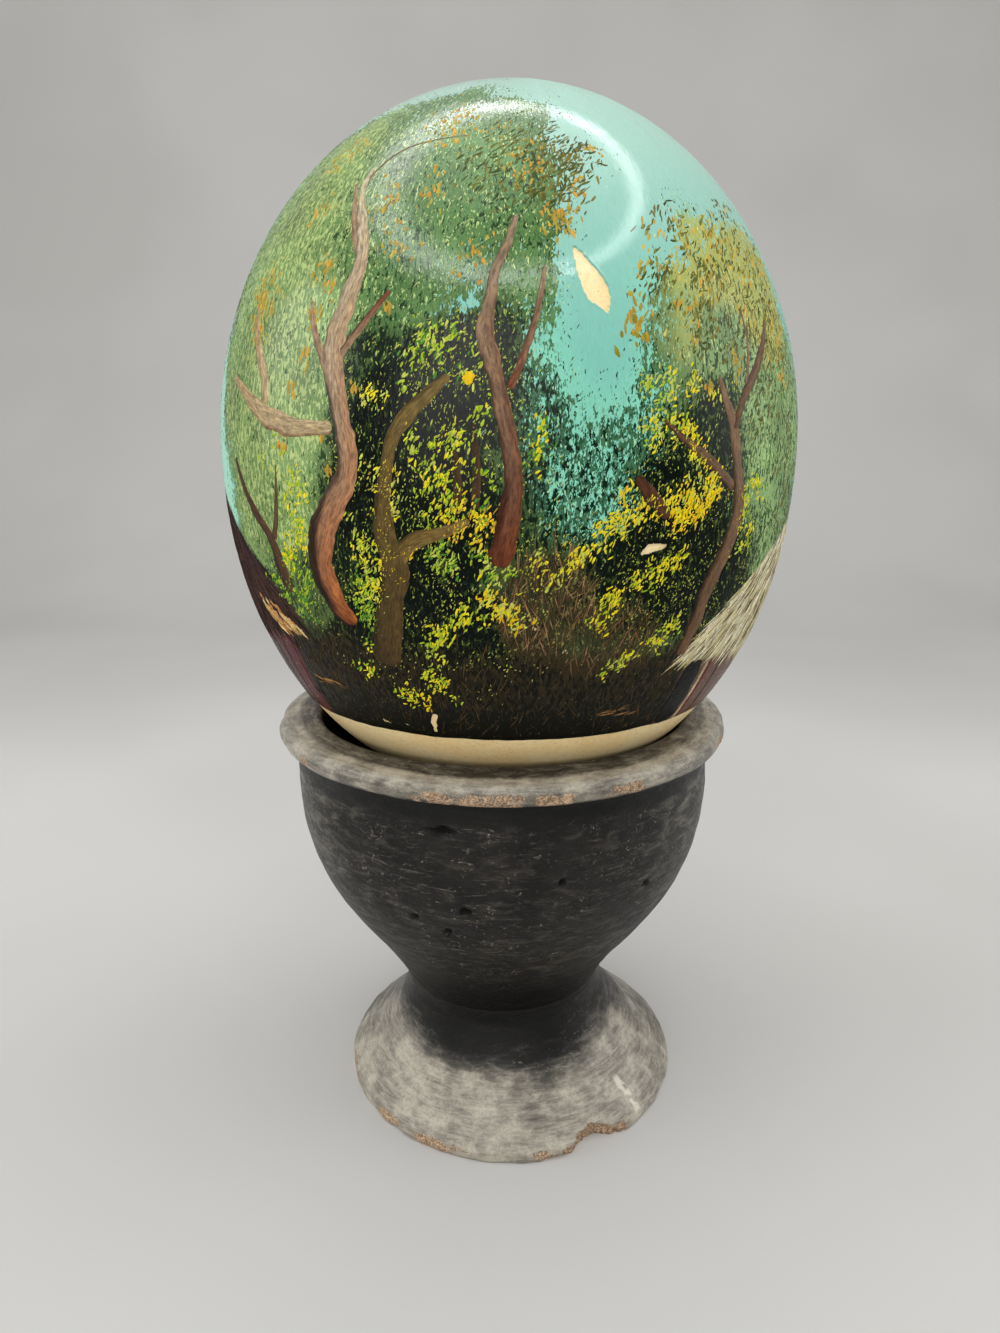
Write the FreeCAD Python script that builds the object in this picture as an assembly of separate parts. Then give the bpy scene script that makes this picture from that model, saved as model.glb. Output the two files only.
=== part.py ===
import FreeCAD, Part
import math
import os

# A hand-painted, blown ostrich egg standing loose in a smoke-blackened clay cup.
# Millimetres, +Z up. The origin is on the table, under the egg's axis.

# Egg: widest section, the two half lengths and how full each half is (2 is an ellipse).
EGG_RADIUS = 64.0
EGG_BELLY_Z = 160.8
EGG_UPPER_LENGTH = 74.2
EGG_LOWER_LENGTH = 79.5
EGG_UPPER_FULLNESS = 2.0
EGG_LOWER_FULLNESS = 2.12
SHELL_WALL = 2.0
MEMBRANE_WALL = 0.2
BLOW_HOLE_RADIUS = 5.0

# Paint film: it stops at a level line and leaves a bare band of shell above the cup.
PAINT_THICKNESS = 0.25
PAINT_EDGE_Z = 107.3

# Flaked paint: azimuth from the front (+ towards +X), height, half width, half height, tilt.
PAINT_CHIPS = (
    (12.6, 189.0, 1.9, 5.4, 22.0),
    (23.6, 145.9, 2.2, 0.9, 6.0),
    (-16.6, 110.9, 0.7, 2.3, -14.0),
)
# How far each corner of a flake reaches, as a share of its half size.
CHIP_REACH = (1.0, 0.72, 0.95, 0.8, 1.0, 0.66, 0.9, 0.78)

# Stand: a thrown bowl and a thrown foot, luted together a little off centre. The foot leans
# towards -X by FOOT_LEAN of its height.
BOWL_AXIS_X = -1.45
FOOT_AXIS_X = 1.05
FOOT_LEAN = 0.055
WAIST_Z = 29.0
WAIST_RADIUS = 26.0

# Bowl, outside: radius and height of the wall from the waist to the groove under the lip.
BOWL_WALL = ((33.6, 41.5), (41.1, 52.0), (46.5, 62.0), (49.6, 72.0), (50.8, 82.0))
GROOVE_RADIUS = 50.4
GROOVE_Z = 92.6

# Rolled lip: a slab that slopes gently outwards and overhangs the wall.
LIP_RADIUS = 54.8
LIP_EDGE_Z = 97.3
LIP_UNDERSIDE_RADIUS = 53.4
LIP_UNDERSIDE_Z = 94.8
LIP_SHOULDER_RADIUS = 52.2
LIP_SHOULDER_Z = 99.4
LIP_TOP_RADIUS = 46.2
LIP_TOP_Z = 100.2
MOUTH_RADIUS = 44.5
MOUTH_EDGE_Z = 99.0

# Bowl, inside: a rounded hollow, its axis the bowl's own.
HOLLOW_TOP_Z = 94.0
HOLLOW_DEPTH = 56.0
HOLLOW_FULLNESS = 2.2

# Foot, outside: radius and height of the flare from the waist to the rounded edge.
FLARE = ((26.2, 23.0), (29.5, 16.6), (36.6, 8.6), (41.8, 3.8))
FOOT_RADIUS = 43.4
FOOT_EDGE_Z = 1.6
FOOT_REST_RADIUS = 42.8
FOOT_RECESS_RADIUS = 37.0
FOOT_RECESS_SHOULDER = (26.0, 8.5)
FOOT_RECESS_HEIGHT = 14.0
FOOT_TRIM = 1.0  # the foot is turned this much too tall, then cut off flat

# Bite broken out of the foot's edge: azimuth, distance from the foot's axis, height, radius.
FOOT_CHIP_BITES = ((21.0, 47.0, 1.0, 4.6), (28.5, 47.6, 0.0, 7.4), (35.0, 48.2, 0.5, 5.6))

# Travel of the egg when it is lifted out, for the clearance report only.
CLEARANCE_STEPS = (0.0, 10.0, 20.0, 40.0)

ORIGIN = FreeCAD.Vector(0, 0, 0)
UP = FreeCAD.Vector(0, 0, 1)
DOWN = FreeCAD.Vector(0, 0, -1)
INWARDS = FreeCAD.Vector(-1, 0, 0)
OUTLINE_STEPS = 8
CUTTER_LENGTH = 80.0
MM3_PER_CM3 = 1000.0


def point(radius, height):
    return FreeCAD.Vector(radius, 0, height)


def line(first, last):
    return Part.makeLine(first, last)


def arc(first, middle, last):
    return Part.Arc(first, middle, last).toShape()


def quarter(wall, flat):
    """Rounded corner from a point on an upright wall to a point on a level face."""
    share = math.cos(math.pi / 4)
    middle = point(flat.x + (wall.x - flat.x) * share, wall.z + (flat.z - wall.z) * share)
    return arc(wall, middle, flat)


def curve(points, first_tangent=None, last_tangent=None):
    """Smooth curve through the points, with its direction fixed at either end if one is given."""
    ends = (first_tangent, last_tangent)
    tangents = [end or FreeCAD.Vector(1, 0, 0) for end in ends]
    middle = len(points) - 2
    spline = Part.BSplineCurve()
    spline.interpolate(
        Points=points,
        Tangents=[tangents[0]] + [tangents[0]] * middle + [tangents[1]],
        TangentFlags=[bool(ends[0])] + [False] * middle + [bool(ends[1])],
    )
    return spline.toShape()


def revolved(edges, axis_x=0.0):
    """Solid swept round the Z axis by a closed section, then moved to its own axis."""
    face = Part.Face(Part.Wire(Part.__sortEdges__(edges)))
    solid = face.revolve(ORIGIN, UP, 360)
    solid.translate(FreeCAD.Vector(axis_x, 0, 0))
    return solid


def leaning(solid, share):
    """The solid sheared towards -X by a share of its height: what is on the table stays put."""
    shear = FreeCAD.Matrix()
    shear.A13 = -share
    return solid.transformGeometry(shear)


def round_radius(height, centre, half_length, radius, fullness):
    """Radius of a rounded form at a height: its section is a superellipse."""
    share = min(abs(height - centre) / half_length, 1.0)
    return radius * (1.0 - share ** fullness) ** (1.0 / fullness)


def half_outline(centre, half_length, radius, fullness, last=1.0):
    """Points from the widest section towards a pole, up to the share `last` of the half length."""
    end = math.asin(last)
    points = []
    for i in range(OUTLINE_STEPS + 1):
        height = centre + half_length * math.sin(end * i / OUTLINE_STEPS)
        points.append(point(round_radius(height, centre, abs(half_length), radius, fullness), height))
    return points


def hole_share(radius, fullness):
    """Share of the half length at which a rounded form narrows to the blow hole."""
    return (1.0 - (BLOW_HOLE_RADIUS / radius) ** fullness) ** (1.0 / fullness)


def egg_outline(inset, edge_z=None):
    """The egg's outline, inset from its outside, from the blow hole or a level line to the top."""
    radius = EGG_RADIUS - inset
    lower = EGG_LOWER_LENGTH - inset
    upper = EGG_UPPER_LENGTH - inset
    if edge_z is None:
        last = hole_share(radius, EGG_LOWER_FULLNESS)
    else:
        last = (EGG_BELLY_Z - edge_z) / lower
    below = half_outline(EGG_BELLY_Z, -lower, radius, EGG_LOWER_FULLNESS, last)
    above = half_outline(EGG_BELLY_Z, upper, radius, EGG_UPPER_FULLNESS)
    edges = [curve(below, DOWN), curve(above, UP, INWARDS)]
    return edges, below[-1], above[-1]


def egg_layer(outer_inset, inner_inset, edge_z=None):
    """One layer of the egg, between two insets, open at the blow hole or at a level line."""
    outer, outer_start, outer_top = egg_outline(outer_inset, edge_z)
    inner, inner_start, inner_top = egg_outline(inner_inset, edge_z)
    return revolved(outer + inner + [line(outer_start, inner_start), line(outer_top, inner_top)])


def egg_shell():
    return egg_layer(0.0, SHELL_WALL)


def shell_membrane():
    return egg_layer(SHELL_WALL, SHELL_WALL + MEMBRANE_WALL)


def chip_cutter(azimuth, height, half_width, half_height, tilt):
    """A ragged lozenge, pushed through the paint film square to the egg's axis."""
    outline = []
    for i, reach in enumerate(CHIP_REACH):
        turn = 2 * math.pi * i / len(CHIP_REACH)
        outline.append(FreeCAD.Vector(reach * half_width * math.cos(turn), 0,
                                      reach * half_height * math.sin(turn)))
    outline.append(outline[0])
    cutter = Part.Face(Part.makePolygon(outline)).extrude(FreeCAD.Vector(0, -CUTTER_LENGTH, 0))
    cutter.rotate(ORIGIN, FreeCAD.Vector(0, 1, 0), tilt)
    cutter.translate(FreeCAD.Vector(0, 0, height))
    cutter.rotate(ORIGIN, UP, azimuth)
    return cutter


def paint_coat():
    coat = egg_layer(-PAINT_THICKNESS, 0.0, PAINT_EDGE_Z)
    for chip in PAINT_CHIPS:
        coat = coat.cut(chip_cutter(*chip))
    return coat


def stand_bowl():
    waist = point(WAIST_RADIUS, WAIST_Z)
    groove = point(GROOVE_RADIUS, GROOVE_Z)
    underside = point(LIP_UNDERSIDE_RADIUS, LIP_UNDERSIDE_Z)
    shoulder = point(LIP_SHOULDER_RADIUS, LIP_SHOULDER_Z)
    top = point(LIP_TOP_RADIUS, LIP_TOP_Z)
    mouth = point(MOUTH_RADIUS, MOUTH_EDGE_Z)
    hollow = half_outline(HOLLOW_TOP_Z, -HOLLOW_DEPTH, MOUTH_RADIUS, HOLLOW_FULLNESS)
    floor = point(0, WAIST_Z)
    edges = [
        line(floor, waist),
        curve([waist] + [point(r, z) for r, z in BOWL_WALL] + [groove]),
        quarter(groove, underside),
        arc(underside, point(LIP_RADIUS, LIP_EDGE_Z), shoulder),
        line(shoulder, top),
        quarter(mouth, top),
        line(mouth, hollow[0]),
        curve(hollow, DOWN, INWARDS),
        line(hollow[-1], floor),
    ]
    return revolved(edges, BOWL_AXIS_X)


def chip_bite(azimuth, distance, height, radius):
    turn = math.radians(azimuth)
    centre = FreeCAD.Vector(FOOT_AXIS_X + distance * math.sin(turn), -distance * math.cos(turn), height)
    return Part.makeSphere(radius, centre)


def stand_foot():
    waist = point(WAIST_RADIUS, WAIST_Z)
    rest_outer = point(FOOT_REST_RADIUS, 0)
    rest_inner = point(FOOT_RECESS_RADIUS, 0)
    trim_outer = point(FOOT_REST_RADIUS, -FOOT_TRIM)
    trim_inner = point(FOOT_RECESS_RADIUS, -FOOT_TRIM)
    flare = [waist] + [point(r, z) for r, z in FLARE]
    stem_top = point(0, WAIST_Z)
    recess_top = point(0, FOOT_RECESS_HEIGHT)
    edges = [
        line(rest_inner, trim_inner),
        line(trim_inner, trim_outer),
        line(trim_outer, rest_outer),
        arc(rest_outer, point(FOOT_RADIUS, FOOT_EDGE_Z), flare[-1]),
        curve(flare),
        line(waist, stem_top),
        line(stem_top, recess_top),
        arc(recess_top, point(*FOOT_RECESS_SHOULDER), rest_inner),
    ]
    foot = leaning(revolved(edges), FOOT_LEAN)
    foot.translate(FreeCAD.Vector(FOOT_AXIS_X, 0, 0))
    width = 4 * FOOT_RADIUS
    foot = foot.cut(Part.makeBox(width, width, width, FreeCAD.Vector(-width / 2, -width / 2, -width)))
    for bite in FOOT_CHIP_BITES:
        foot = foot.cut(chip_bite(*bite))
    return foot


NODES = {
    "egg_shell": egg_shell,
    "shell_membrane": shell_membrane,
    "paint_coat": paint_coat,
    "stand_bowl": stand_bowl,
    "stand_foot": stand_foot,
}


def main():
    os.makedirs("parts", exist_ok=True)
    made = {}
    for name, build in NODES.items():
        shape = build()
        solids = shape.Solids
        made[name] = solids[0] if len(solids) == 1 else Part.makeCompound(solids)
        made[name].exportStep(f"parts/{name}.step")
        box = made[name].BoundBox
        print(f"{name}: {len(solids)} solid, valid {made[name].isValid()}, "
              f"{made[name].Volume / MM3_PER_CM3:.1f} cm3, z {box.ZMin:.1f} to {box.ZMax:.1f}")
    for lift in CLEARANCE_STEPS:
        egg = made["egg_shell"].copy()
        egg.translate(FreeCAD.Vector(0, 0, lift))
        gap = egg.distToShape(made["stand_bowl"])[0]
        print(f"egg lifted {lift:.0f} mm: {gap:.2f} mm from the bowl")


main()
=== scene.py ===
import math

import bpy
import numpy as np
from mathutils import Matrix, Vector


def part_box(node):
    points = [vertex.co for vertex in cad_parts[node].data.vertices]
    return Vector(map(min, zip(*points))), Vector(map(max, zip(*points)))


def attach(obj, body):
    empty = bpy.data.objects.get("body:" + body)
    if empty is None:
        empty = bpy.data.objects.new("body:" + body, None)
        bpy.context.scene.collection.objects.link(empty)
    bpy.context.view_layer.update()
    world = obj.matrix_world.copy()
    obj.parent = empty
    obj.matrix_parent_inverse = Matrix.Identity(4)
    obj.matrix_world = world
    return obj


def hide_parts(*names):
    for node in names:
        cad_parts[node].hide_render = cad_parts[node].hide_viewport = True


# A painted ostrich egg in a smoke-blackened clay cup. Lengths are millimetres until a mesh is made.
# Azimuth is in degrees from the front of the painting, + towards +X. `s` is the length along the
# egg's outline, up from its widest section.

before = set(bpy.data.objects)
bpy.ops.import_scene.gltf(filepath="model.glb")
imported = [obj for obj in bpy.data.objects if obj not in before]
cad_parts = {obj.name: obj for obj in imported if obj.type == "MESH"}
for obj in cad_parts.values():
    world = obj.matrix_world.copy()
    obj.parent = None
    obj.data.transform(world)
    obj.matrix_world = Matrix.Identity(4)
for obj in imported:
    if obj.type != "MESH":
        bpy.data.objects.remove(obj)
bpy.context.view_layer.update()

MM = 0.001
rng = np.random.default_rng(41)

# ------------------------------------------------------------------ sizes taken from the frame


def box_mm(node):
    low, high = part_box(node)
    return np.array(low) / MM, np.array(high) / MM


SHELL_LOW, SHELL_HIGH = box_mm("egg_shell")
PAINT_LOW, PAINT_HIGH = box_mm("paint_coat")
EGG_RADIUS = (SHELL_HIGH[0] - SHELL_LOW[0]) / 2
BELLY_Z = 160.8  # height of the egg's widest section
UPPER_LENGTH = SHELL_HIGH[2] - BELLY_Z
LOWER_LENGTH = 79.5  # from the widest section down to the lower pole, before the blow hole
UPPER_FULLNESS, LOWER_FULLNESS = 2.0, 2.12  # 2 is an ellipse, more is blunter
PAINT_FILM = PAINT_HIGH[2] - SHELL_HIGH[2]
PAINT_EDGE_Z = PAINT_LOW[2]
BOWL_AXIS_X = (box_mm("stand_bowl")[0][0] + box_mm("stand_bowl")[1][0]) / 2
FOOT_AXIS_X, FOOT_LEAN = 1.05, 0.055  # x of the foot's axis at the floor, and x lost per mm of z

# ------------------------------------------------------------------ numbers, noise and colour


def ease(value, low, high):
    """0 below low, 1 above high, smooth between them."""
    share = np.clip((value - low) / (high - low), 0.0, 1.0)
    return share * share * (3.0 - 2.0 * share)


def hashed(cell, seed):
    """A number from 0 to 1 for each whole-numbered cell."""
    x, y, z = cell.T
    mixed = (x * 73856093) ^ (y * 19349663) ^ (z * 83492791) ^ (seed * 2654435761)
    mixed = (mixed ^ (mixed >> 13)) * 1274126177 & 0x7FFFFFFF
    return ((mixed ^ (mixed >> 16)) & 0xFFFFF) / float(0xFFFFF)


TURN = np.array([[0.36, 0.48, -0.80], [-0.80, 0.60, 0.00], [0.48, 0.64, 0.60]])


def lumps(points, size, seed):
    """Smooth noise from -1 to 1 whose lumps are about `size` across."""
    scaled = np.asarray(points) @ TURN / size
    base = np.floor(scaled).astype(np.int64)
    part = scaled - base
    part = part * part * (3.0 - 2.0 * part)
    total = np.zeros(len(points))
    for corner in range(8):
        step = np.array([corner & 1, corner >> 1 & 1, corner >> 2 & 1])
        weight = np.prod(np.where(step, part, 1.0 - part), axis=1)
        total += weight * hashed(base + step, seed)
    return total * 2.0 - 1.0


def rough(points, size, seed, octaves=3):
    """Lumps with finer lumps on them."""
    total = np.zeros(len(points))
    for octave in range(octaves):
        total += lumps(points, size / 2 ** octave, seed + octave) / 2 ** octave
    return total


def linear(*channels):
    """Linear colour from 0 to 255 screen values."""
    share = np.array(channels, float) / 255.0
    return np.where(share <= 0.04045, share / 12.92, ((share + 0.055) / 1.055) ** 2.4)


# ------------------------------------------------------------------ the egg's surface


def egg_radius(z):
    """Radius of the bare shell's outline: two half superellipses that meet at the widest section."""
    above = z >= BELLY_Z
    length = np.where(above, UPPER_LENGTH, LOWER_LENGTH)
    fullness = np.where(above, UPPER_FULLNESS, LOWER_FULLNESS)
    share = np.clip(np.abs(z - BELLY_Z) / length, 0.0, 1.0)
    return EGG_RADIUS * (1.0 - share ** fullness) ** (1.0 / fullness)


def outline_table():
    """The outline as run s, z and radius, with the outward normal's two parts."""
    turn = np.linspace(-math.pi / 2, math.pi / 2, 4001)
    z = BELLY_Z + np.where(turn < 0, LOWER_LENGTH, UPPER_LENGTH) * np.sin(turn)
    radius = egg_radius(z)
    step_z, step_r = np.gradient(z), np.gradient(radius)
    run = np.concatenate([[0.0], np.cumsum(np.hypot(np.diff(z), np.diff(radius)))])
    run -= np.interp(BELLY_Z, z, run)
    length = np.hypot(step_z, step_r)
    return run, z, radius, step_z / length, -step_r / length


RUN, RUN_Z, RUN_R, RUN_OUT, RUN_UP = outline_table()
S_TOP = RUN[-1]
S_EDGE = float(np.interp(PAINT_EDGE_Z, RUN_Z, RUN))


def radius_at(s):
    return np.interp(s, RUN, RUN_R)


def on_egg(azimuth, s, height=0.0):
    """Points at an azimuth and a length s, raised from the bare shell by `height`."""
    azimuth, s, height = np.broadcast_arrays(np.radians(azimuth), s, height)
    radius = radius_at(s) + height * np.interp(s, RUN, RUN_OUT)
    z = np.interp(s, RUN, RUN_Z) + height * np.interp(s, RUN, RUN_UP)
    return np.stack([radius * np.sin(azimuth), -radius * np.cos(azimuth), z], axis=-1)


# ------------------------------------------------------------------ meshes and nodes


def mesh_object(name, points, faces):
    mesh = bpy.data.meshes.new(name)
    mesh.from_pydata((np.asarray(points) * MM).tolist(), [], faces)
    mesh.validate()
    mesh.polygons.foreach_set("use_smooth", [True] * len(mesh.polygons))
    obj = bpy.data.objects.new(name, mesh)
    bpy.context.scene.collection.objects.link(obj)
    return obj


def give(obj, name, values):
    """Stores one number, colour or vector per vertex."""
    values = np.asarray(values, np.float32)
    if values.ndim == 1:
        layer = obj.data.attributes.new(name, "FLOAT", "POINT")
        layer.data.foreach_set("value", values)
    elif values.shape[1] == 4:
        layer = obj.data.attributes.new(name, "FLOAT_COLOR", "POINT")
        layer.data.foreach_set("color", values.ravel())
    else:
        layer = obj.data.attributes.new(name, "FLOAT_VECTOR", "POINT")
        layer.data.foreach_set("vector", values.ravel())


def rows_of_quads(rows, columns, closed=True):
    """Faces of a grid of vertices, row by row, joined round if closed."""
    faces = []
    last = columns if closed else columns - 1
    for i in range(rows - 1):
        for j in range(last):
            k = (j + 1) % columns
            faces.append((i * columns + j, i * columns + k, (i + 1) * columns + k, (i + 1) * columns + j))
    return faces


class Paint:
    """A node material. Inputs given as sockets are linked, and anything else is a plain value."""

    def __init__(self, name):
        self.material = bpy.data.materials.new(name)
        self.material.use_nodes = True
        self.tree = self.material.node_tree
        self.surface = self.tree.nodes["Principled BSDF"]

    def set(self, node, inputs):
        for key, value in inputs.items():
            socket = node.inputs[key]
            if isinstance(value, bpy.types.NodeSocket):
                self.tree.links.new(value, socket)
            elif hasattr(value, "__len__") and len(value) == 3 and socket.type == "RGBA":
                socket.default_value = (*value, 1.0)
            else:
                socket.default_value = value

    def node(self, kind, inputs=None, **settings):
        made = self.tree.nodes.new(kind)
        for key, value in settings.items():
            setattr(made, key, value)
        self.set(made, inputs or {})
        return made

    def stored(self, name, output="Fac"):
        """A number stored per vertex, or a colour or vector if that output is asked for."""
        return self.node("ShaderNodeAttribute", attribute_name=name).outputs[output]

    def noise(self, vector, scale, detail=2.0, roughness=0.5, distortion=0.0):
        made = self.node("ShaderNodeTexNoise", {"Vector": vector, "Scale": scale, "Detail": detail,
                                                "Roughness": roughness, "Distortion": distortion})
        return made.outputs["Factor" if "Factor" in made.outputs else "Fac"]

    def cells(self, vector, scale):
        return self.node("ShaderNodeTexVoronoi", {"Vector": vector, "Scale": scale}).outputs["Distance"]

    def math(self, operation, first, second=0.0):
        return self.node("ShaderNodeMath", {0: first, 1: second}, operation=operation).outputs[0]

    def times(self, first, second):
        return self.math("MULTIPLY", first, second)

    def plus(self, first, second):
        return self.math("ADD", first, second)

    def millimetres(self):
        """The place on the object, in millimetres."""
        at = self.node("ShaderNodeTexCoord").outputs["Object"]
        return self.place(at, (1 / MM, 1 / MM, 1 / MM))

    def ramp(self, value, low, high, to_low=0.0, to_high=1.0):
        """Smooth step from to_low at low to to_high at high."""
        made = self.node("ShaderNodeMapRange", {"Value": value, "From Min": low, "From Max": high,
                                                "To Min": to_low, "To Max": to_high},
                         interpolation_type="SMOOTHSTEP")
        return made.outputs["Result"]

    def mix(self, share, first, second, blend="MIX"):
        made = self.node("ShaderNodeMix", data_type="RGBA", blend_type=blend)
        self.set(made, {0: share})
        for index, value in ((6, first), (7, second)):
            if isinstance(value, bpy.types.NodeSocket):
                self.tree.links.new(value, made.inputs[index])
            else:
                made.inputs[index].default_value = (*value, 1.0)
        return made.outputs[2]

    def place(self, vector, scale=(1, 1, 1), move=(0, 0, 0)):
        made = self.node("ShaderNodeMapping", {"Vector": vector, "Scale": scale, "Location": move})
        return made.outputs["Vector"]

    def bump(self, height, distance, strength=1.0, below=None):
        """A normal with the height raised by `distance` metres, on top of the normal below."""
        inputs = {"Height": height, "Distance": distance, "Strength": strength}
        if below is not None:
            inputs["Normal"] = below
        return self.node("ShaderNodeBump", inputs).outputs["Normal"]

    def finish(self, **inputs):
        self.set(self.surface, {key.replace("_", " "): value for key, value in inputs.items()})
        return self.material


def dress(obj, material):
    obj.data.materials.clear()
    obj.data.materials.append(material)


# ------------------------------------------------------------------ camera, stage and light

# Place and tilt come from a perspective fit to the outlines of the egg, lip, waist and foot.
CAMERA_AT = Vector((-1.93, -214.2, 165.9)) * MM
CAMERA_PITCH = math.radians(14.85)
CAMERA_LENS = 24.0
SENSOR = 36.0


def add_camera():
    data = bpy.data.cameras.new("camera")
    data.lens = CAMERA_LENS
    data.sensor_width = SENSOR
    data.sensor_fit = "AUTO"
    data.clip_start = 0.01
    camera = bpy.data.objects.new("camera", data)
    camera.location = CAMERA_AT
    camera.rotation_euler = (math.pi / 2 - CAMERA_PITCH, 0.0, 0.0)
    bpy.context.scene.collection.objects.link(camera)
    bpy.context.scene.camera = camera


def add_sweep():
    """Pale floor that curves up behind the object into a pale wall."""
    depth, bend, height, half_width = 900.0, 350.0, 1400.0, 1600.0
    near_end, steps = -1500.0, 12
    profile = [(near_end, 0.0), (depth - bend, 0.0)]
    for i in range(1, steps + 1):
        turn = math.pi / 2 * i / steps
        profile.append((depth - bend + bend * math.sin(turn), bend - bend * math.cos(turn)))
    profile.append((depth, height))
    points = [(x, y, z) for y, z in profile for x in (-half_width, half_width)]
    sweep = mesh_object("sweep", points, rows_of_quads(len(profile), 2, closed=False))
    paint = Paint("sweep")
    where = paint.node("ShaderNodeTexCoord").outputs["Object"]
    grain = paint.noise(where, 900.0, 2.0)
    cloud = paint.noise(where, 4.0, 2.0)
    shade = paint.mix(paint.ramp(cloud, 0.3, 0.7), linear(196, 194, 190), linear(204, 203, 200))
    dress(sweep, paint.finish(Base_Color=shade, Roughness=0.85, Normal=paint.bump(grain, 0.00005, 0.4)))


def area_light(name, place, target, size, power, tint=(1.0, 1.0, 1.0)):
    data = bpy.data.lights.new(name, "AREA")
    data.shape = "DISK"
    data.size = size * MM
    data.energy = power
    data.color = tint
    lamp = bpy.data.objects.new(name, data)
    lamp.location = Vector(place) * MM
    lamp.rotation_euler = (Vector(target) - Vector(place)).to_track_quat("-Z", "Y").to_euler()
    bpy.context.scene.collection.objects.link(lamp)


def add_lights():
    """A ring of soft lamps overhead, a big soft one above it, and weak fills."""
    ring_centre = np.array([5.0, -130.0, 640.0])
    ring_radius, lamps, lamp_size, lamp_power = 320.0, 60, 30.0, 0.050
    for i in range(lamps):
        turn = 2 * math.pi * i / lamps
        place = ring_centre + ring_radius * np.array([math.cos(turn), math.sin(turn), 0.0])
        area_light(f"ring_{i}", place, (0, 0, 150), lamp_size, lamp_power)
    area_light("top", (0, 60, 1300), (0, 0, 100), 1100.0, 3.6)
    area_light("front", (-250, -1150, 380), (0, 0, 110), 1300.0, 7.4, (1.0, 0.97, 0.93))
    area_light("left", (-1100, -100, 450), (0, 0, 110), 900.0, 3.8)
    area_light("right", (1100, 0, 420), (0, 0, 110), 900.0, 3.6)
    world = bpy.data.worlds.new("studio")
    world.use_nodes = True
    background = world.node_tree.nodes["Background"]
    background.inputs["Color"].default_value = (0.75, 0.78, 0.82, 1.0)
    background.inputs["Strength"].default_value = 0.25
    bpy.context.scene.world = world
    bpy.context.scene.view_settings.view_transform = "Standard"


add_camera()
add_sweep()
add_lights()

# ------------------------------------------------------------------ clay stand

BOWL_COLUMNS, FOOT_COLUMNS = 600, 560
# Balls taken out of the foot's edge: azimuth, distance from the axis, z, radius.
CHIP_BITES = ((21.0, 47.0, 1.0, 5.2), (28.0, 47.2, 0.0, 8.2), (35.0, 47.8, 0.5, 6.2))
RECESS_RADIUS, REST_RADIUS, WAIST_Z = 37.0, 42.8, 29.0
GROOVE_Z = 92.6
WAIST_TUCK = 1.5  # bowl and foot run this far into each other, so no seam shows at the waist
SMEAR_AZIMUTH, SMEAR_FOOT, SMEAR_HEAD = 47.3, (2.4, 3.4), (-9.6, -8.4)  # the pale smear on the foot

BOWL_PITS = (  # azimuth, z, half width, half height, depth
    (-14.5, 87.5, 2.9, 0.8, 0.8), (-23.2, 65.2, 0.9, 0.8, 0.5), (-9.1, 68.7, 1.1, 0.9, 0.7),
    (-14.6, 62.1, 0.8, 0.9, 0.6), (14.2, 75.9, 0.8, 0.7, 0.5), (40.0, 70.0, 1.0, 0.7, 0.5),
    (76.0, 82.0, 1.6, 0.8, 0.6), (118.0, 60.0, 0.9, 1.1, 0.6), (163.0, 74.0, 1.2, 0.8, 0.6),
    (-150.0, 66.0, 1.0, 0.8, 0.5), (-104.0, 78.0, 1.7, 0.7, 0.6), (-66.0, 57.0, 0.9, 0.9, 0.5))
LIP_WEAR = (  # azimuth, half width in degrees, strength
    (-16.0, 4.4, 1.0), (-3.0, 18.0, 0.66), (10.0, 6.5, 1.0), (27.0, 7.0, 0.66), (66.0, 7.0, 0.7),
    (104.0, 4.0, 0.8), (139.0, 9.0, 0.5), (-171.0, 6.0, 0.9), (-128.0, 4.0, 0.6), (-83.0, 7.0, 0.8),
    (-52.0, 3.0, 0.5))


def wrap(angle):
    return (angle + 180.0) % 360.0 - 180.0


def outline(node, axis_x, lean):
    """The node's outline as (radius, z) in order, read along its mesh in the half plane towards +X."""
    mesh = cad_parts[node].data
    keys = [tuple(np.round(np.array(v.co) / MM, 3)) for v in mesh.vertices]
    beside = {k: set() for k in keys if abs(k[1]) < 0.002 and k[0] > axis_x - lean * k[2] - 0.002}
    for edge in mesh.edges:
        first, second = keys[edge.vertices[0]], keys[edge.vertices[1]]
        if first != second and first in beside and second in beside:
            beside[first].add(second)
            beside[second].add(first)
    ends = sorted((k for k, v in beside.items() if len(v) == 1), key=lambda k: -k[0])
    chain, before = [ends[0]], None
    while True:
        after = [k for k in beside[chain[-1]] if k != before]
        if not after or after[0] in chain[:1]:
            break
        before = chain[-1]
        chain.append(after[0])
    chain = np.array(chain)
    return np.stack([chain[:, 0] + lean * chain[:, 2] - axis_x, chain[:, 2]], axis=1)


def resample(profile, spacing):
    """The profile with points `spacing(radius, z)` apart."""
    run = np.concatenate([[0.0], np.cumsum(np.hypot(*np.diff(profile, axis=0).T))])
    at = [0.0]
    while at[-1] < run[-1]:
        radius, z = np.interp(at[-1], run, profile[:, 0]), np.interp(at[-1], run, profile[:, 1])
        at.append(at[-1] + spacing(radius, z))
    at = np.array(at) * run[-1] / at[-1]
    return at, np.interp(at, run, profile[:, 0]), np.interp(at, run, profile[:, 1])


def turned(profile, spacing, columns):
    """Grid data for a turned piece: run along the outline, radius, z and azimuth of every vertex."""
    run, radius, z = resample(profile, spacing)
    azimuth = np.arange(columns) * 360.0 / columns - 180.0
    shape = (len(run), columns)
    return (shape,) + tuple(np.broadcast_to(v, shape).ravel().copy() for v in
                            (run[:, None], radius[:, None], z[:, None], wrap(azimuth)[None, :]))


def around(radius, z, azimuth):
    """Points round an upright axis."""
    turn = np.radians(azimuth)
    return np.stack([radius * np.sin(turn), -radius * np.cos(turn), z], axis=1)


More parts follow.
